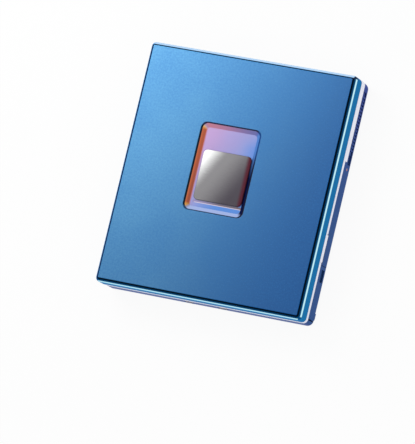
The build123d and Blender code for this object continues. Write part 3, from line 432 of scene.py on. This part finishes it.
def makeMoulded(name, light, dark, roughness=0.5):
    # Plastic with a fine eroded texture.
    finish = Finish(name)
    board = finish.board
    pits = board.noise(finish.place, plastics["grain"], detail=3.0, roughness=0.6)
    cloud = board.noise(finish.place, plastics["cloud"])
    mottle = cloud.rises(*plastics["cloudRange"]) * plastics["cloudShare"] + pits * plastics["pitShare"]
    uneven = (pits - 0.5) * plastics["pitGloss"]
    return finish.close(board.blend(mottle, light, dark), roughness + uneven, 0.0,
                        finish.dented(pits, plastics["pitDepth"]))


bezel = {
    "left": tint(184, 82, 40), "leftLow": tint(158, 66, 36), "leftOuter": tint(206, 98, 40),
    "outerDepth": (-0.0009, -0.0003), "cornerGold": tint(240, 176, 62), "goldStart": (0.0118, 0.0133),
    "right": tint(12, 22, 66), "rightHigh": tint(86, 138, 214), "rightTurn": (-0.002, 0.009),
    "head": tint(204, 128, 150), "headRight": tint(104, 110, 178), "foot": tint(164, 184, 236),
    "sideLean": (0.2, 0.5), "leftLean": (0.1, 0.3), "rightLean": (0.1, -0.3),
    "rim": 0.00012, "leftRim": 0.0001, "rightRim": 0.0003,
    "sheen": 260, "sheenGloss": 0.08, "roughness": 0.12, "metallic": 0.3,
    "rightCoatLoss": 0.95, "coatRoughness": 0.03, "grazing": (0.3, 0.4, 0.9)}


def makeBezel():
    # The clear block round the window: each sloping side carries its own painted reflection and shade, inside
    # a painted shadow line.
    finish = Finish("windowBezel")
    board = finish.board
    x, y = finish.axes(finish.place)[:2]
    normalX, normalY = finish.axes(finish.facing)[:2]
    middleX, middleY = window["middle"]
    halfX, halfY = window["half"]
    along = y.rises(middleY - halfY, middleY + halfY)
    across = x.rises(middleX - halfX, middleX + halfX)
    depth = windowReach(x, y)
    low, high = bezel["rightTurn"]
    leanLow, leanHigh = bezel["sideLean"]
    left = board.blend(along, bezel["leftLow"], bezel["left"])
    left = board.blend(depth.rises(*bezel["outerDepth"]), left, bezel["leftOuter"])
    left = board.blend((y - middleY).absolute().rises(*bezel["goldStart"]), left, bezel["cornerGold"])
    right = board.blend(y.rises(middleY + low, middleY + high), bezel["right"], bezel["rightHigh"])
    head = board.blend(across, bezel["head"], bezel["headRight"])
    # Painted reflection and shade: each slope takes a tone by the way it faces, orange and gold on the left,
    # navy turning blue on the right, rose above and pale blue below.
    colour = board.blend(normalX.rises(leanLow, leanHigh), right, left)
    colour = board.blend(normalY.rises(-leanLow, -leanHigh), colour, head)
    colour = board.blend(normalY.rises(leanLow, leanHigh), colour, bezel["foot"])
    rightSide = normalX.rises(*bezel["rightLean"])
    leftSide = normalX.rises(*bezel["leftLean"])
    rim = rightSide * bezel["rightRim"] + leftSide * bezel["leftRim"] + bezel["rim"]
    colour = board.blend((depth + rim).rises(*crisp), colour, windowShadowLineColour(board, x, y))
    sheen = board.noise(finish.place, bezel["sheen"])
    return finish.close(colour, bezel["roughness"] + sheen * bezel["sheenGloss"], bezel["metallic"], None,
                        {"Coat Weight": 1 - rightSide * bezel["rightCoatLoss"],
                         "Coat Roughness": bezel["coatRoughness"], "Specular Tint": bezel["grazing"],
                         "Specular IOR Level": 0.0})


pane = {
    "rose": tint(182, 150, 202), "lilac": tint(140, 152, 216), "blue": tint(72, 136, 222),
    "lilacStart": (-0.5, 0.1), "blueStart": (-0.05, 0.3), "slope": (34, 22),
    "drift": 110, "driftShare": 0.25, "driftGloss": 0.05, "leftEdge": (-0.0082, -0.0091),
    "upLean": (0.4, 0.6), "roughness": 0.1, "metallic": 0.45, "coatRoughness": 0.02}
badgeFootReflection = {
    "left": tint(146, 138, 186), "right": tint(104, 92, 106), "line": tint(222, 208, 222), "top": -0.00825,
    "leftEnd": (-0.0094, -0.0091), "rightEnd": (0.0076, 0.0073), "turn": (-0.009, 0.002),
    "start": (0, 0.00005), "end": (0.0008, 0.0006),
    "lineStart": (0.00062, 0.0007), "lineEnd": (0.0009, 0.00082), "lineLeft": (-0.0088, -0.0086)}


def makePane():
    # Mirror-coated pane, rose at the upper left turning to blue, partly its own tint and partly a painted
    # sheen, with a painted reflection of the badge plate's foot.
    finish = Finish("windowPane")
    board = finish.board
    x, y = finish.axes(finish.place)[:2]
    upward = finish.axes(finish.facing)[2].rises(*pane["upLean"])
    middleX, middleY = window["middle"]
    drift = board.noise(finish.place, pane["drift"], detail=1.0)
    slant = (x - middleX) * pane["slope"][0] - (y - middleY) * pane["slope"][1]
    slant = slant + (drift - 0.5) * pane["driftShare"]
    # Partly painted sheen: the sweep from rose through lilac to blue is partly the coating's own tint and
    # partly a painted sheen for a colour that changes with the view on the real pane; its left edge takes the
    # bezel's painted orange.
    colour = board.blend(slant.rises(*pane["lilacStart"]), pane["rose"], pane["lilac"])
    colour = board.blend(slant.rises(*pane["blueStart"]), colour, pane["blue"])
    colour = board.blend((x - middleX).rises(*pane["leftEdge"]), colour, bezel["left"])
    # Painted reflection: below the badge plate's foot the pane is painted with the plate mirrored in it,
    # lilac turning grey, with a pale painted highlight line.
    below = (badgeFootReflection["top"] - y) * x.rises(*badgeFootReflection["leftEnd"]) * x.rises(*badgeFootReflection["rightEnd"]) * upward
    reflected = board.blend(x.rises(*badgeFootReflection["turn"]), badgeFootReflection["left"], badgeFootReflection["right"])
    colour = board.blend(below.rises(*badgeFootReflection["start"]) * below.rises(*badgeFootReflection["end"]), colour, reflected)
    line = below.rises(*badgeFootReflection["lineStart"]) * below.rises(*badgeFootReflection["lineEnd"]) * x.rises(*badgeFootReflection["lineLeft"])
    colour = board.blend(line, colour, badgeFootReflection["line"])
    return finish.close(colour, pane["roughness"] + drift * pane["driftGloss"], pane["metallic"], None,
                        {"Coat Weight": 1.0, "Coat Roughness": pane["coatRoughness"]})


badge = {
    "light": tint(226, 228, 227), "middle": tint(113, 112, 114), "dark": tint(66, 62, 69),
    "rim": tint(70, 26, 38), "corner": (-0.00935, 0.00835), "size": (0.0168, 0.0166),
    "lean": (0.8, 0.45), "unevenness": 0.1,
    "middleStart": (0.0, 0.42), "darkStart": (0.45, 1.0), "rimStart": (0.88, 0.97),
    "brush": (0.04, 1.0, 1.0), "grain": 9000, "grainDepth": 0.000008, "grainGloss": 0.25,
    "roughness": 0.4, "metallic": 0.9}


def makeBadge():
    # Brushed steel plate with painted shade from its upper left corner, and a dark maroon right edge.
    finish = Finish("badgeSteel")
    board = finish.board
    x, y = finish.axes(finish.place)[:2]
    lines = board.noise(finish.stretched(badge["brush"]), badge["grain"], roughness=0.7)
    fromLeft = (x - badge["corner"][0]) / badge["size"][0]
    fromTop = (badge["corner"][1] - y) / badge["size"][1]
    # Painted shade: light at the upper left corner, through grey to dark towards the lower right, as the lamp
    # lights the plate.
    depth = fromLeft * badge["lean"][0] + fromTop * badge["lean"][1] + (lines - 0.5) * badge["unevenness"]
    colour = board.blend(depth.rises(*badge["middleStart"]), badge["light"], badge["middle"])
    colour = board.blend(depth.rises(*badge["darkStart"]), colour, badge["dark"])
    colour = board.blend(fromLeft.rises(*badge["rimStart"]), colour, badge["rim"])
    return finish.close(colour, badge["roughness"] + (lines - 0.5) * badge["grainGloss"], badge["metallic"],
                        finish.dented(lines, badge["grainDepth"]))


solderMask = {
    "dark": tint(14, 62, 44), "light": tint(28, 104, 66), "trackShare": 0.5, "trackDepth": 0.00003,
    "tracks": {"Color1": (1, 1, 1), "Color2": (0.8, 0.8, 0.8), "Mortar": (0, 0, 0), "Scale": 420,
               "Mortar Size": 0.03, "Brick Width": 0.9, "Row Height": 0.22},
    "weave": 1400, "weaveShare": 0.3, "weaveGloss": 0.12, "roughness": 0.34,
    "coat": 0.3, "coatRoughness": 0.25}


def makeBoardGreen():
    # Solder mask over copper tracks and plated pads.
    finish = Finish("boardGreen")
    board = finish.board
    tracks = board.wire("ShaderNodeTexBrick", {"offset": 0.5},
                        {"Vector": finish.place, **solderMask["tracks"]})
    weave = board.noise(finish.place, solderMask["weave"])
    raised = tracks * solderMask["trackShare"] + weave * solderMask["weaveShare"]
    colour = board.blend(raised, solderMask["dark"], solderMask["light"])
    return finish.close(colour, solderMask["roughness"] + weave * solderMask["weaveGloss"], 0.0,
                        finish.dented(tracks, solderMask["trackDepth"]),
                        {"Coat Weight": solderMask["coat"], "Coat Roughness": solderMask["coatRoughness"]})


resin = {"swirl": 900, "swirlRange": (0.3, 0.7), "swirlGloss": 0.06, "roughness": 0.08,
         "coatRoughness": 0.03}


def makeResin(name, colour, deep):
    # Tinted clear resin, as on a lamp or a lens.
    finish = Finish(name)
    board = finish.board
    swirl = board.noise(finish.place, resin["swirl"])
    return finish.close(board.blend(swirl.rises(*resin["swirlRange"]), colour, deep),
                        resin["roughness"] + swirl * resin["swirlGloss"], 0.0, None,
                        {"Coat Weight": 1.0, "Coat Roughness": resin["coatRoughness"]})


finishes = {
    "lid_blue": makeAnodised(),
    "shell_blue": makePainted(),
    "silver_trim": makeMetal("silverSatin", tint(240, 240, 250), tint(214, 217, 232), 0.34, grain=4200),
    "window_pane": makePane(),
    "window_bezel": makeBezel(),
    "badge_steel": makeBadge(),
    "steel": makeMetal("groundSteel", tint(206, 208, 212), tint(158, 160, 166), 0.24, (1, 0.05, 1), 4200),
    "holder_steel": makeMetal("rolledSheet", tint(196, 200, 206), tint(164, 168, 176), 0.32,
                              (0.05, 1, 1), 3000),
    "screw_steel": makeMetal("screwSteel", tint(176, 178, 184), tint(112, 112, 120)),
    "board_green": makeBoardGreen(),
    "chip_black": makeMoulded("chipBody", tint(40, 41, 44), tint(26, 26, 29)),
    "motor_can": makeMetal("motorCan", tint(214, 216, 218), tint(172, 174, 180), 0.28, (1, 1, 0.05), 3600),
    "turntable_black": makeMoulded("hubPlastic", tint(34, 35, 38), tint(22, 22, 25), 0.42),
    "dark_plastic": makeMoulded("mouldedFrame", tint(48, 50, 55), tint(30, 31, 35), 0.48),
    "pickup_casting": makeMetal("pickupCasting", tint(150, 148, 146), tint(104, 102, 102), 0.46,
                                grain=1500, depth=0.00002),
    "lens_glass": makeResin("lensGlass", tint(60, 76, 120), tint(96, 70, 130)),
    "gear_white": makeMoulded("gearNylon", tint(226, 224, 214), tint(204, 200, 188), 0.4),
    "contact_gold": makeMetal("contactGold", tint(232, 190, 104), tint(196, 150, 70), 0.22),
    "lamp_red": makeResin("lampRed", tint(178, 46, 42), tint(120, 22, 26)),
    "battery_wrap": makeMoulded("cellWrap", tint(196, 200, 204), tint(170, 176, 182), 0.3),
}
bodyOf = {node: body for body, members in frame["record"]["behaviour"]["bodies"].items() for node in members}
slotOf = {part["node"]: part["material_slot"] for part in frame["record"]["subparts"]}
for node, piece in frame["nodes"].items():
    piece.data.materials.clear()
    piece.data.materials.append(finishes[slotOf[node]])
print("finishes made:", len(finishes))

flatWithin = 0.6  # degrees; faces that turn less than this are one flat face


def mergedCopy(node):
    # A welded copy of a solid's triangles with its flat faces joined up.
    mesh = bmesh.new()
    mesh.from_mesh(frame["nodes"][node].data)
    bmesh.ops.remove_doubles(mesh, verts=mesh.verts, dist=weld)
    bmesh.ops.dissolve_limit(mesh, angle_limit=math.radians(flatWithin), verts=mesh.verts, edges=mesh.edges,
                             delimit={"NORMAL"})
    return mesh


def past(place, limits):
    # Whether a place lies past any of the limits, which are in millimetres; with no limits it always does.
    reached = {"right": place.x, "sides": abs(place.x), "ends": abs(place.y), "above": place.z}
    return not limits or any(reached[side] > limit * mm for side, limit in limits.items())


def edgesWhere(mesh, test, sharper=30):
    # The edges sharper than some degrees whose middle passes the test.
    found = []
    for edge in mesh.edges:
        if len(edge.link_faces) == 2 and edge.calc_face_angle(0) > math.radians(sharper):
            if test((edge.verts[0].co + edge.verts[1].co) / 2):
                found.append(edge)
    return found


def broken(mesh, edges, width, segments=3):
    # Rounds the given edges over a width in millimetres.
    bmesh.ops.bevel(mesh, geom=edges, offset=width * mm, segments=segments, profile=0.5, affect="EDGES",
                    clamp_overlap=True, miter_outer="SHARP")


def smoothed(piece, angle=32):
    # Smooth shading that keeps its flats: sharp edges are marked and the normals weighted by area.
    mesh = bmesh.new()
    mesh.from_mesh(piece.data)
    for face in mesh.faces:
        face.smooth = True
    for edge in mesh.edges:
        edge.smooth = edge.is_manifold and edge.calc_face_angle(0) < math.radians(angle)
    mesh.to_mesh(piece.data)
    mesh.free()
    weighted = piece.modifiers.new("weighted", "WEIGHTED_NORMAL")
    weighted.keep_sharp = True
    return applied(piece)


def applied(piece):
    # The piece with its modifiers turned into plain mesh.
    bpy.context.view_layer.update()
    result = bpy.data.meshes.new_from_object(piece.evaluated_get(bpy.context.evaluated_depsgraph_get()))
    piece.modifiers.clear()
    piece.data = result
    return piece


def newPiece(name, mesh, material):
    data = bpy.data.meshes.new(name)
    bmesh.ops.dissolve_degenerate(mesh, dist=weld, edges=mesh.edges)
    mesh.to_mesh(data)
    mesh.free()
    data.materials.append(material)
    piece = bpy.data.objects.new(name, data)
    bpy.context.scene.collection.objects.link(piece)
    return piece


def standsFor(piece, node):
    # The piece moves with a node's body and is shown in that node's place.
    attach(piece, bodyOf[node])
    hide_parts(node)


# Widths of the broken edges and how far out those edges lie, in millimetres.
softEdges = {
    "frameStrip": {"node": "mid_frame", "width": 0.12, "limits": {"right": 35.1, "ends": 39.1}},
    "backShell": {"node": "bottom_shell", "width": 0.1, "limits": {"sides": 35.5, "ends": 39.5}},
    "badgePlate": {"node": "badge_plate", "width": 0.09, "limits": {"above": 13.3}},
    "playKey": {"node": "play_key", "width": 0.18, "limits": {"right": 35.9}},
    "cellDoor": {"node": "battery_door", "width": 0.1, "limits": {"right": 35.5}},
    "slideGrip": {"node": "open_slide", "width": 0.05, "limits": {"right": 34.5}},
    "discCradle": {"node": "disc_holder", "width": 0.07, "limits": {}},
    "hubPlate": {"node": "turntable", "width": 0.06, "limits": {}},
    "pickupBody": {"node": "optical_pickup", "width": 0.06, "limits": {}},
    "deckPlate": {"node": "chassis_plate", "width": 0.05, "limits": {}},
}


def makeSoftened(name, node, width, limits):
    # The solid of a node with its outer edges broken.
    mesh = mergedCopy(node)
    broken(mesh, edgesWhere(mesh, lambda place: past(place, limits)), width)
    standsFor(smoothed(newPiece(name, mesh, finishes[slotOf[node]])), node)


for name, edges in softEdges.items():
    makeSoftened(name, **edges)

# Each break of the lid's edges: width and heights in millimetres, and whether it lies on the lid's outside.
lidEdges = {
    "cutFoot": {"width": 0.55, "segments": 3, "z": (12.75, 12.85), "outside": True},
    "cutHead": {"width": 0.12, "segments": 2, "z": (13.95, 14.1), "outside": True},
    "windowEdge": {"width": 0.16, "segments": 2, "z": (13.7, 14.1), "outside": False},
    "skirtFoot": {"width": 0.12, "segments": 2, "z": (0, 8.35), "outside": True},
}
lidShell = {"outside": {"sides": 34.5, "ends": 38.5}, "sharper": 20, "smoothing": 36}


def onLidEdge(place, edge):
    low, high = edge["z"]
    return low * mm < place.z < high * mm and past(place, lidShell["outside"]) == edge["outside"]


def makeLidShell():
    # The lid with a broad polished edge below its chamfer and finer breaks elsewhere.
    mesh = mergedCopy("lid")
    for edge in lidEdges.values():
        chosen = edgesWhere(mesh, lambda place: onLidEdge(place, edge), lidShell["sharper"])
        broken(mesh, chosen, edge["width"], edge["segments"])
    standsFor(smoothed(newPiece("lidShell", mesh, finishes["lid_blue"]), lidShell["smoothing"]), "lid")


makeLidShell()
print("outer pieces softened:", len(softEdges) + 1)

# Screws in millimetres, with the outer face of the head at each place.
screwSets = {
    "caseScrewSet": {
        "node": "case_screws", "turn": (math.pi, 0, 0.6),
        "places": [(-32.3, 36.6, 0), (29.6, 36.6, 0), (-32.3, -18, 0), (32.0, -5, 0)],
        "sizes": {"headRadius": 1.25, "headDepth": 0.55, "rim": 0.12, "headSides": 24,
                  "shankRadius": 0.68, "shankLength": 5.95, "shankSides": 14,
                  "recessLength": 1.5, "recessWidth": 0.34, "recessDepth": 0.34}},
    "chassisScrewSet": {
        "node": "chassis_screws", "turn": (0, 0, 0.3),
        "places": [(-27.5, -17.9, 6.85), (28.5, -17.9, 6.85), (-27.5, 21.5, 6.85), (28.5, 31.5, 6.85)],
        "sizes": {"headRadius": 1.0, "headDepth": 0.45, "rim": 0.1, "headSides": 24,
                  "shankRadius": 0.48, "shankLength": 3.6, "shankSides": 14,
                  "recessLength": 1.15, "recessWidth": 0.28, "recessDepth": 0.26}},
}


def makeScrews(name, node, turn, places, sizes):
    # Cross-recessed screws: a head with a sloped rim, a cross cut in it and a shank below.
    tree = Grower(name + "Tree", sizes, finishes[slotOf[node]])
    size = tree.sizes
    radius, rim = size["headRadius"], size["rim"]
    skirt = tree.moved(tree.round(size["headSides"], radius, radius, size["headDepth"] - rim),
                       z=size["headDepth"] * -1)
    crown = tree.moved(tree.round(size["headSides"], radius, radius - rim, rim), z=rim * -1)
    blades = [tree.box(size["recessLength"], size["recessWidth"], size["recessDepth"] * 2),
              tree.box(size["recessWidth"], size["recessLength"], size["recessDepth"] * 2)]
    head = tree.combined("DIFFERENCE", tree.combined("UNION", skirt, crown), *blades)
    shank = tree.moved(tree.round(size["shankSides"], size["shankRadius"], size["shankRadius"],
                                  size["shankLength"]),
                       z=(size["headDepth"] + size["shankLength"]) * -1)
    screw = tree.moved(tree.joined(head, shank), turn=turn)
    tree.close(tree.placed(tree.given, screw, scale=mm))
    standsFor(smoothed(tree.grow(name, places)), node)


for name, screws in screwSets.items():
    makeScrews(name, **screws)

# The rear keys in millimetres: groups says on which sides of the key's middle grooves stand, count how many.
keys = {
    "volumeKey": {"node": "volume_rocker", "groups": (-1, 0, 1), "count": 3},
    "trackKey": {"node": "track_rocker", "groups": (-1, 0, 1), "count": 3},
    "holdKnob": {"node": "hold_slide", "groups": (0,), "count": 5},
}
grooves = {"width": 0.34, "height": 1.8, "depth": 0.25, "pitch": 0.7}
keyRow = {"face": 39.95, "faceWithin": 0.05, "edge": 0.2, "endGap": 1.5,
          "grooveShadeColour": tint(84, 88, 98), "grooveShadeDepth": (0.16, 0.06)}


def makeKey(name, node, groups, count):
    # A key of the rear row: rounded outer edges and short grip grooves cut in groups.
    metres = {part: length * mm for part, length in grooves.items()}
    tree = Grower(name + "Tree", {"count": count, **metres}, keyFinish)
    size = tree.sizes
    low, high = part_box(node)
    faceStart = high.y - keyRow["faceWithin"] * mm
    outer = [vertex.co.x for vertex in frame["nodes"][node].data.vertices if vertex.co.y > faceStart]
    middle = (min(outer) + max(outer)) / 2
    reach = (max(outer) - min(outer)) / 2 - keyRow["endGap"] * mm
    row = tree.board.wire("GeometryNodeMeshLine", {"mode": "OFFSET", "count_mode": "TOTAL"},
                          {"Count": size["count"], "Offset": tree.vector(size["pitch"])})
    slots = tree.real(tree.placed(row, tree.box(size["width"], size["depth"] * 2, size["height"])))
    start = (size["count"] - 1) * size["pitch"] * -0.5
    cutters = [tree.moved(slots, start + (middle + group * reach), high.y, (low.z + high.z) / 2)
               for group in groups]
    tree.close(tree.combined("DIFFERENCE", tree.given, *cutters))
    mesh = mergedCopy(node)
    broken(mesh, edgesWhere(mesh, lambda place: place.y > faceStart), keyRow["edge"])
    standsFor(smoothed(tree.growOn(newPiece(name, mesh, keyFinish))), node)


# Painted shade: the keys' silver is painted darker over the bottoms of their grip grooves, where shade falls.
grooveShadeLow, grooveShadeHigh = ((keyRow["face"] - depth) * mm for depth in keyRow["grooveShadeDepth"])
keyFinish = makeMetal("silverKey", tint(232, 234, 242), tint(204, 208, 220), 0.32, grain=4200,
                      grooveShade=(grooveShadeLow, grooveShadeHigh, keyRow["grooveShadeColour"]))
for name, key in keys.items():
    makeKey(name, **key)

# In millimetres; each ridge makes that many turns along the length.
feedThread = {"place": (-13.2, 10.1, 3.8), "smoothing": 50,
              "sizes": {"turns": 12.5, "length": 25.0, "radius": 0.79, "steps": 18,
                        "ridge": 0.09, "ridgeSides": 5}}


def makeThread():
    # Two rolled ridges winding along the feed screw.
    tree = Grower("feedThreadTree", feedThread["sizes"], finishes["steel"])
    size = tree.sizes
    spiral = tree.board.wire("GeometryNodeCurveSpiral", None,
                             {"Resolution": size["steps"], "Rotations": size["turns"],
                              "Start Radius": size["radius"], "End Radius": size["radius"],
                              "Height": size["length"]})
    section = tree.board.wire("GeometryNodeCurvePrimitiveCircle", {"mode": "RADIUS"},
                              {"Resolution": size["ridgeSides"], "Radius": size["ridge"]})
    ridge = tree.board.wire("GeometryNodeCurveToMesh", None,
                            {"Curve": spiral, "Profile Curve": section, "Fill Caps": True})
    pair = tree.joined(ridge, tree.moved(ridge, turn=(0, 0, math.pi)))
    lying = tree.moved(pair, turn=(-math.pi / 2, 0, 0))
    tree.close(tree.placed(tree.given, lying, scale=mm))
    piece = smoothed(tree.grow("feedThread", [feedThread["place"]]), feedThread["smoothing"])
    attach(piece, bodyOf["lead_screw"])


makeThread()

# Chip legs in millimetres; each chip is its middle, width, height and how many sides carry legs.
boardTop = 1.8
legs = {"pitch": 0.65, "width": 0.26, "reach": 0.5, "footHeight": 0.11,
        "riserDepth": 0.22, "riserHeight": 0.352}
legRows = {"endGap": 0.6, "chips": [(-26.4, 5, 9, 9, 4), (-26.4, -9, 7, 6, 2), (21.85, 2, 11, 11, 4),
                                    (21.85, 18, 7, 9, 2), (0.7, -15, 12, 4, 2)]}


def inPairs(places):
    # One edge for each two places in a row.
    return [(first, first + 1) for first in range(0, len(places), 2)]


def chipSides():
    # The two ends of each side that carries legs; the sides of a chip run anticlockwise.
    places = []
    for middleX, middleY, width, height, sides in legRows["chips"]:
        halfX, halfY = width / 2, height / 2
        alongX, alongY = halfX - legRows["endGap"], halfY - legRows["endGap"]
        ends = {"low": ((-alongX, -halfY), (alongX, -halfY)), "high": ((alongX, halfY), (-alongX, halfY)),
                "right": ((halfX, -alongY), (halfX, alongY)), "left": ((-halfX, alongY), (-halfX, -alongY))}
        chosen = ends if sides == 4 else ("low", "high") if width > height else ("right", "left")
        places += [(middleX + x, middleY + y, boardTop) for side in chosen for x, y in ends[side]]
    return places


def makeLegs():
    # Bent legs along the sides of the chips: a foot on the board and a riser against the body.
    tree = Grower("chipLegTree", legs, finishes["contact_gold"])
    size = tree.sizes
    spaced = tree.board.wire("GeometryNodeResampleCurve", {"mode": "LENGTH"},
                             {"Curve": tree.lines(), "Length": size["pitch"] * mm})
    foot = tree.moved(tree.box(size["width"], size["reach"], size["footHeight"]),
                      y=size["reach"] * -0.5, z=size["footHeight"] * 0.5)
    riser = tree.moved(tree.box(size["width"], size["riserDepth"], size["riserHeight"]),
                       z=size["riserHeight"] * 0.5)
    tree.close(tree.placed(spaced, tree.joined(foot, riser), tree.alongLine(), mm))
    places = chipSides()
    piece = tree.grow("chipLegs", places, inPairs(places))
    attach(piece, bodyOf["board_chips"])


makeLegs()

# Small two-ended parts in millimetres, and how they are strewn over the board.
boardParts = {"length": 1.1, "width": 0.55, "height": 0.36, "capLength": 0.26, "capEase": 0.04}
spread = {"seed": 7, "x": (-34, 31.4), "y": (-19, 37.6), "step": (2.1, 1.9), "jitter": 0.5, "share": 0.42,
          "clearance": 0.45, "probeHeight": 0.2, "probeReach": 0.3, "pointer": 0.1}


def surfaceOf(node):
    mesh = frame["nodes"][node].data
    return BVHTree.FromPolygons([vertex.co for vertex in mesh.vertices],
                                [tuple(face.vertices) for face in mesh.polygons])


def isFree(x, y, lengthwise, board, others):
    # Whether a part would lie on the board here with its room kept from every other solid.
    half = boardParts["length"] / 2
    reachX, reachY = (half, half / 2) if lengthwise else (half / 2, half)
    probes = [Vector((x + a * reachX, y + b * reachY, boardTop + spread["probeHeight"])) * mm
              for a in (-1, 0, 1) for b in (-1, 0, 1)]
    down = Vector((0, 0, -1))
    onBoard = all(board.ray_cast(probe, down, spread["probeReach"] * mm)[0] for probe in probes)
    return onBoard and all(other.find_nearest(probe, spread["clearance"] * mm)[0] is None
                           for other in others for probe in probes)


def freeSpots():
    # The free places on the board, each as two ends of a short line in the part's direction.
    chance = random.Random(spread["seed"])
    board = surfaceOf("main_board")
    others = [surfaceOf(node) for node in frame["nodes"] if node != "main_board"]
    (lowX, highX), (lowY, highY), (stepX, stepY) = spread["x"], spread["y"], spread["step"]
    places = []
    for row in range(int((highY - lowY) / stepY)):
        for column in range(int((highX - lowX) / stepX)):
            x = lowX + (column + 0.5) * stepX + chance.uniform(-1, 1) * spread["jitter"]
            y = lowY + (row + 0.5) * stepY + chance.uniform(-1, 1) * spread["jitter"]
            lengthwise = chance.random() < 0.5
            chosen = chance.random() <= spread["share"]
            if chosen and isFree(x, y, lengthwise, board, others):
                aheadX, aheadY = (spread["pointer"], 0) if lengthwise else (0, spread["pointer"])
                places += [(x, y, boardTop), (x + aheadX, y + aheadY, boardTop)]
    return places


def partBody(tree):
    size = tree.sizes
    body = tree.box(size["length"] - size["capLength"], size["width"], size["height"])
    return tree.moved(body, z=size["height"] * 0.5)


def partCaps(tree):
    size = tree.sizes
    height = size["height"] + size["capEase"]
    cap = tree.box(size["capLength"], size["width"] + size["capEase"], height)
    away = (size["length"] - size["capLength"]) * 0.5
    return tree.joined(tree.moved(cap, away, 0.0, height * 0.5),
                       tree.moved(cap, away * -1, 0.0, height * 0.5))


def makeBoardParts(name, slot, shapeOf, spots):
    # The bodies or the caps of all the small parts, one on each spot.
    tree = Grower(name + "Tree", boardParts, finishes[slot])
    single = tree.board.wire("GeometryNodeResampleCurve", {"mode": "COUNT"},
                             {"Curve": tree.lines(), "Count": 1})
    tree.close(tree.placed(single, shapeOf(tree), tree.alongLine(), mm))
    piece = tree.grow(name, spots, inPairs(spots))
    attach(piece, bodyOf["main_board"])


spots = freeSpots()
makeBoardParts("boardPartBodies", "chip_black", partBody, spots)
makeBoardParts("boardPartCaps", "screw_steel", partCaps, spots)
print("screws, keys, thread and chip legs grown; small parts on the board:", len(spots) // 2)

studio = {
    "aim": (-0.00509, -0.01385, 0.007), "towards": (0.3800, -0.1230, 0.9160), "up": (-0.169, 0.965, 0.200),
    "distance": 1.5, "lens": 380.0, "farthest": 20, "world": 0.62, "lampAim": (0, 0, 0.007)}
lamps = {
    "key": {"place": (-0.165, 0.125, 0.23), "size": 0.17, "power": 0.32},
    "fill": {"place": (0.35, -0.25, 0.45), "size": 0.4, "power": 0.25}}
paper = {"light": tint(252, 252, 252), "shaded": tint(246, 246, 247), "tooth": 300, "glow": 0.92,
         "size": 3.0, "drop": 0.0002}


def makeFloor():
    # White paper that glows for the camera and keeps the player's shadow.
    finish = Finish("paperSweep")
    board = finish.board
    tooth = board.noise(finish.place, paper["tooth"])
    diffuse = board.wire("ShaderNodeBsdfDiffuse", None,
                         {"Color": board.blend(tooth, paper["shaded"], paper["light"])})
    glow = board.wire("ShaderNodeEmission", None, {"Color": (1, 1, 1), "Strength": 1.0})
    mixed = board.wire("ShaderNodeMixShader", None,
                       {0: board.clearRays() * paper["glow"], 1: diffuse, 2: glow})
    board.node("ShaderNodeOutputMaterial", None, {"Surface": mixed})
    mesh = bmesh.new()
    bmesh.ops.create_grid(mesh, x_segments=2, y_segments=2, size=paper["size"])
    floor = newPiece("paperFloor", mesh, finish.material)
    floor.location.z = -paper["drop"]


def makeWorld():
    # Even white light, at full strength only where it is seen directly or mirrored.
    world = bpy.data.worlds.new("studio")
    world.use_nodes = True
    world.node_tree.nodes.clear()
    board = Board(world.node_tree)
    strength = studio["world"] + board.clearRays() * (1.0 - studio["world"])
    glow = board.wire("ShaderNodeBackground", None, {"Color": (1, 1, 1), "Strength": strength})
    board.node("ShaderNodeOutputWorld", None, {"Surface": glow})
    bpy.context.scene.world = world


def makeLamp(name, place, size, power):
    lamp = bpy.data.lights.new(name, "AREA")
    lamp.shape = "SQUARE"
    lamp.size = size
    lamp.energy = power
    holder = bpy.data.objects.new(name, lamp)
    holder.location = place
    holder.rotation_euler = (Vector(studio["lampAim"]) - Vector(place)).to_track_quat("-Z", "Y").to_euler()
    bpy.context.scene.collection.objects.link(holder)


def makeCamera():
    towards = Vector(studio["towards"]).normalized()
    right = Vector(studio["up"]).cross(towards).normalized()
    turned = Matrix((right, towards.cross(right), towards)).transposed().to_4x4()
    turned.translation = Vector(studio["aim"]) + towards * studio["distance"]
    camera = bpy.data.cameras.new("camera")
    camera.lens = studio["lens"]
    camera.clip_end = studio["farthest"]
    holder = bpy.data.objects.new("camera", camera)
    holder.matrix_world = turned
    bpy.context.scene.collection.objects.link(holder)
    bpy.context.scene.camera = holder


makeFloor()
makeWorld()
for name, lamp in lamps.items():
    makeLamp(name, **lamp)
makeCamera()
bpy.context.scene.view_settings.view_transform = "Standard"
print("studio set")
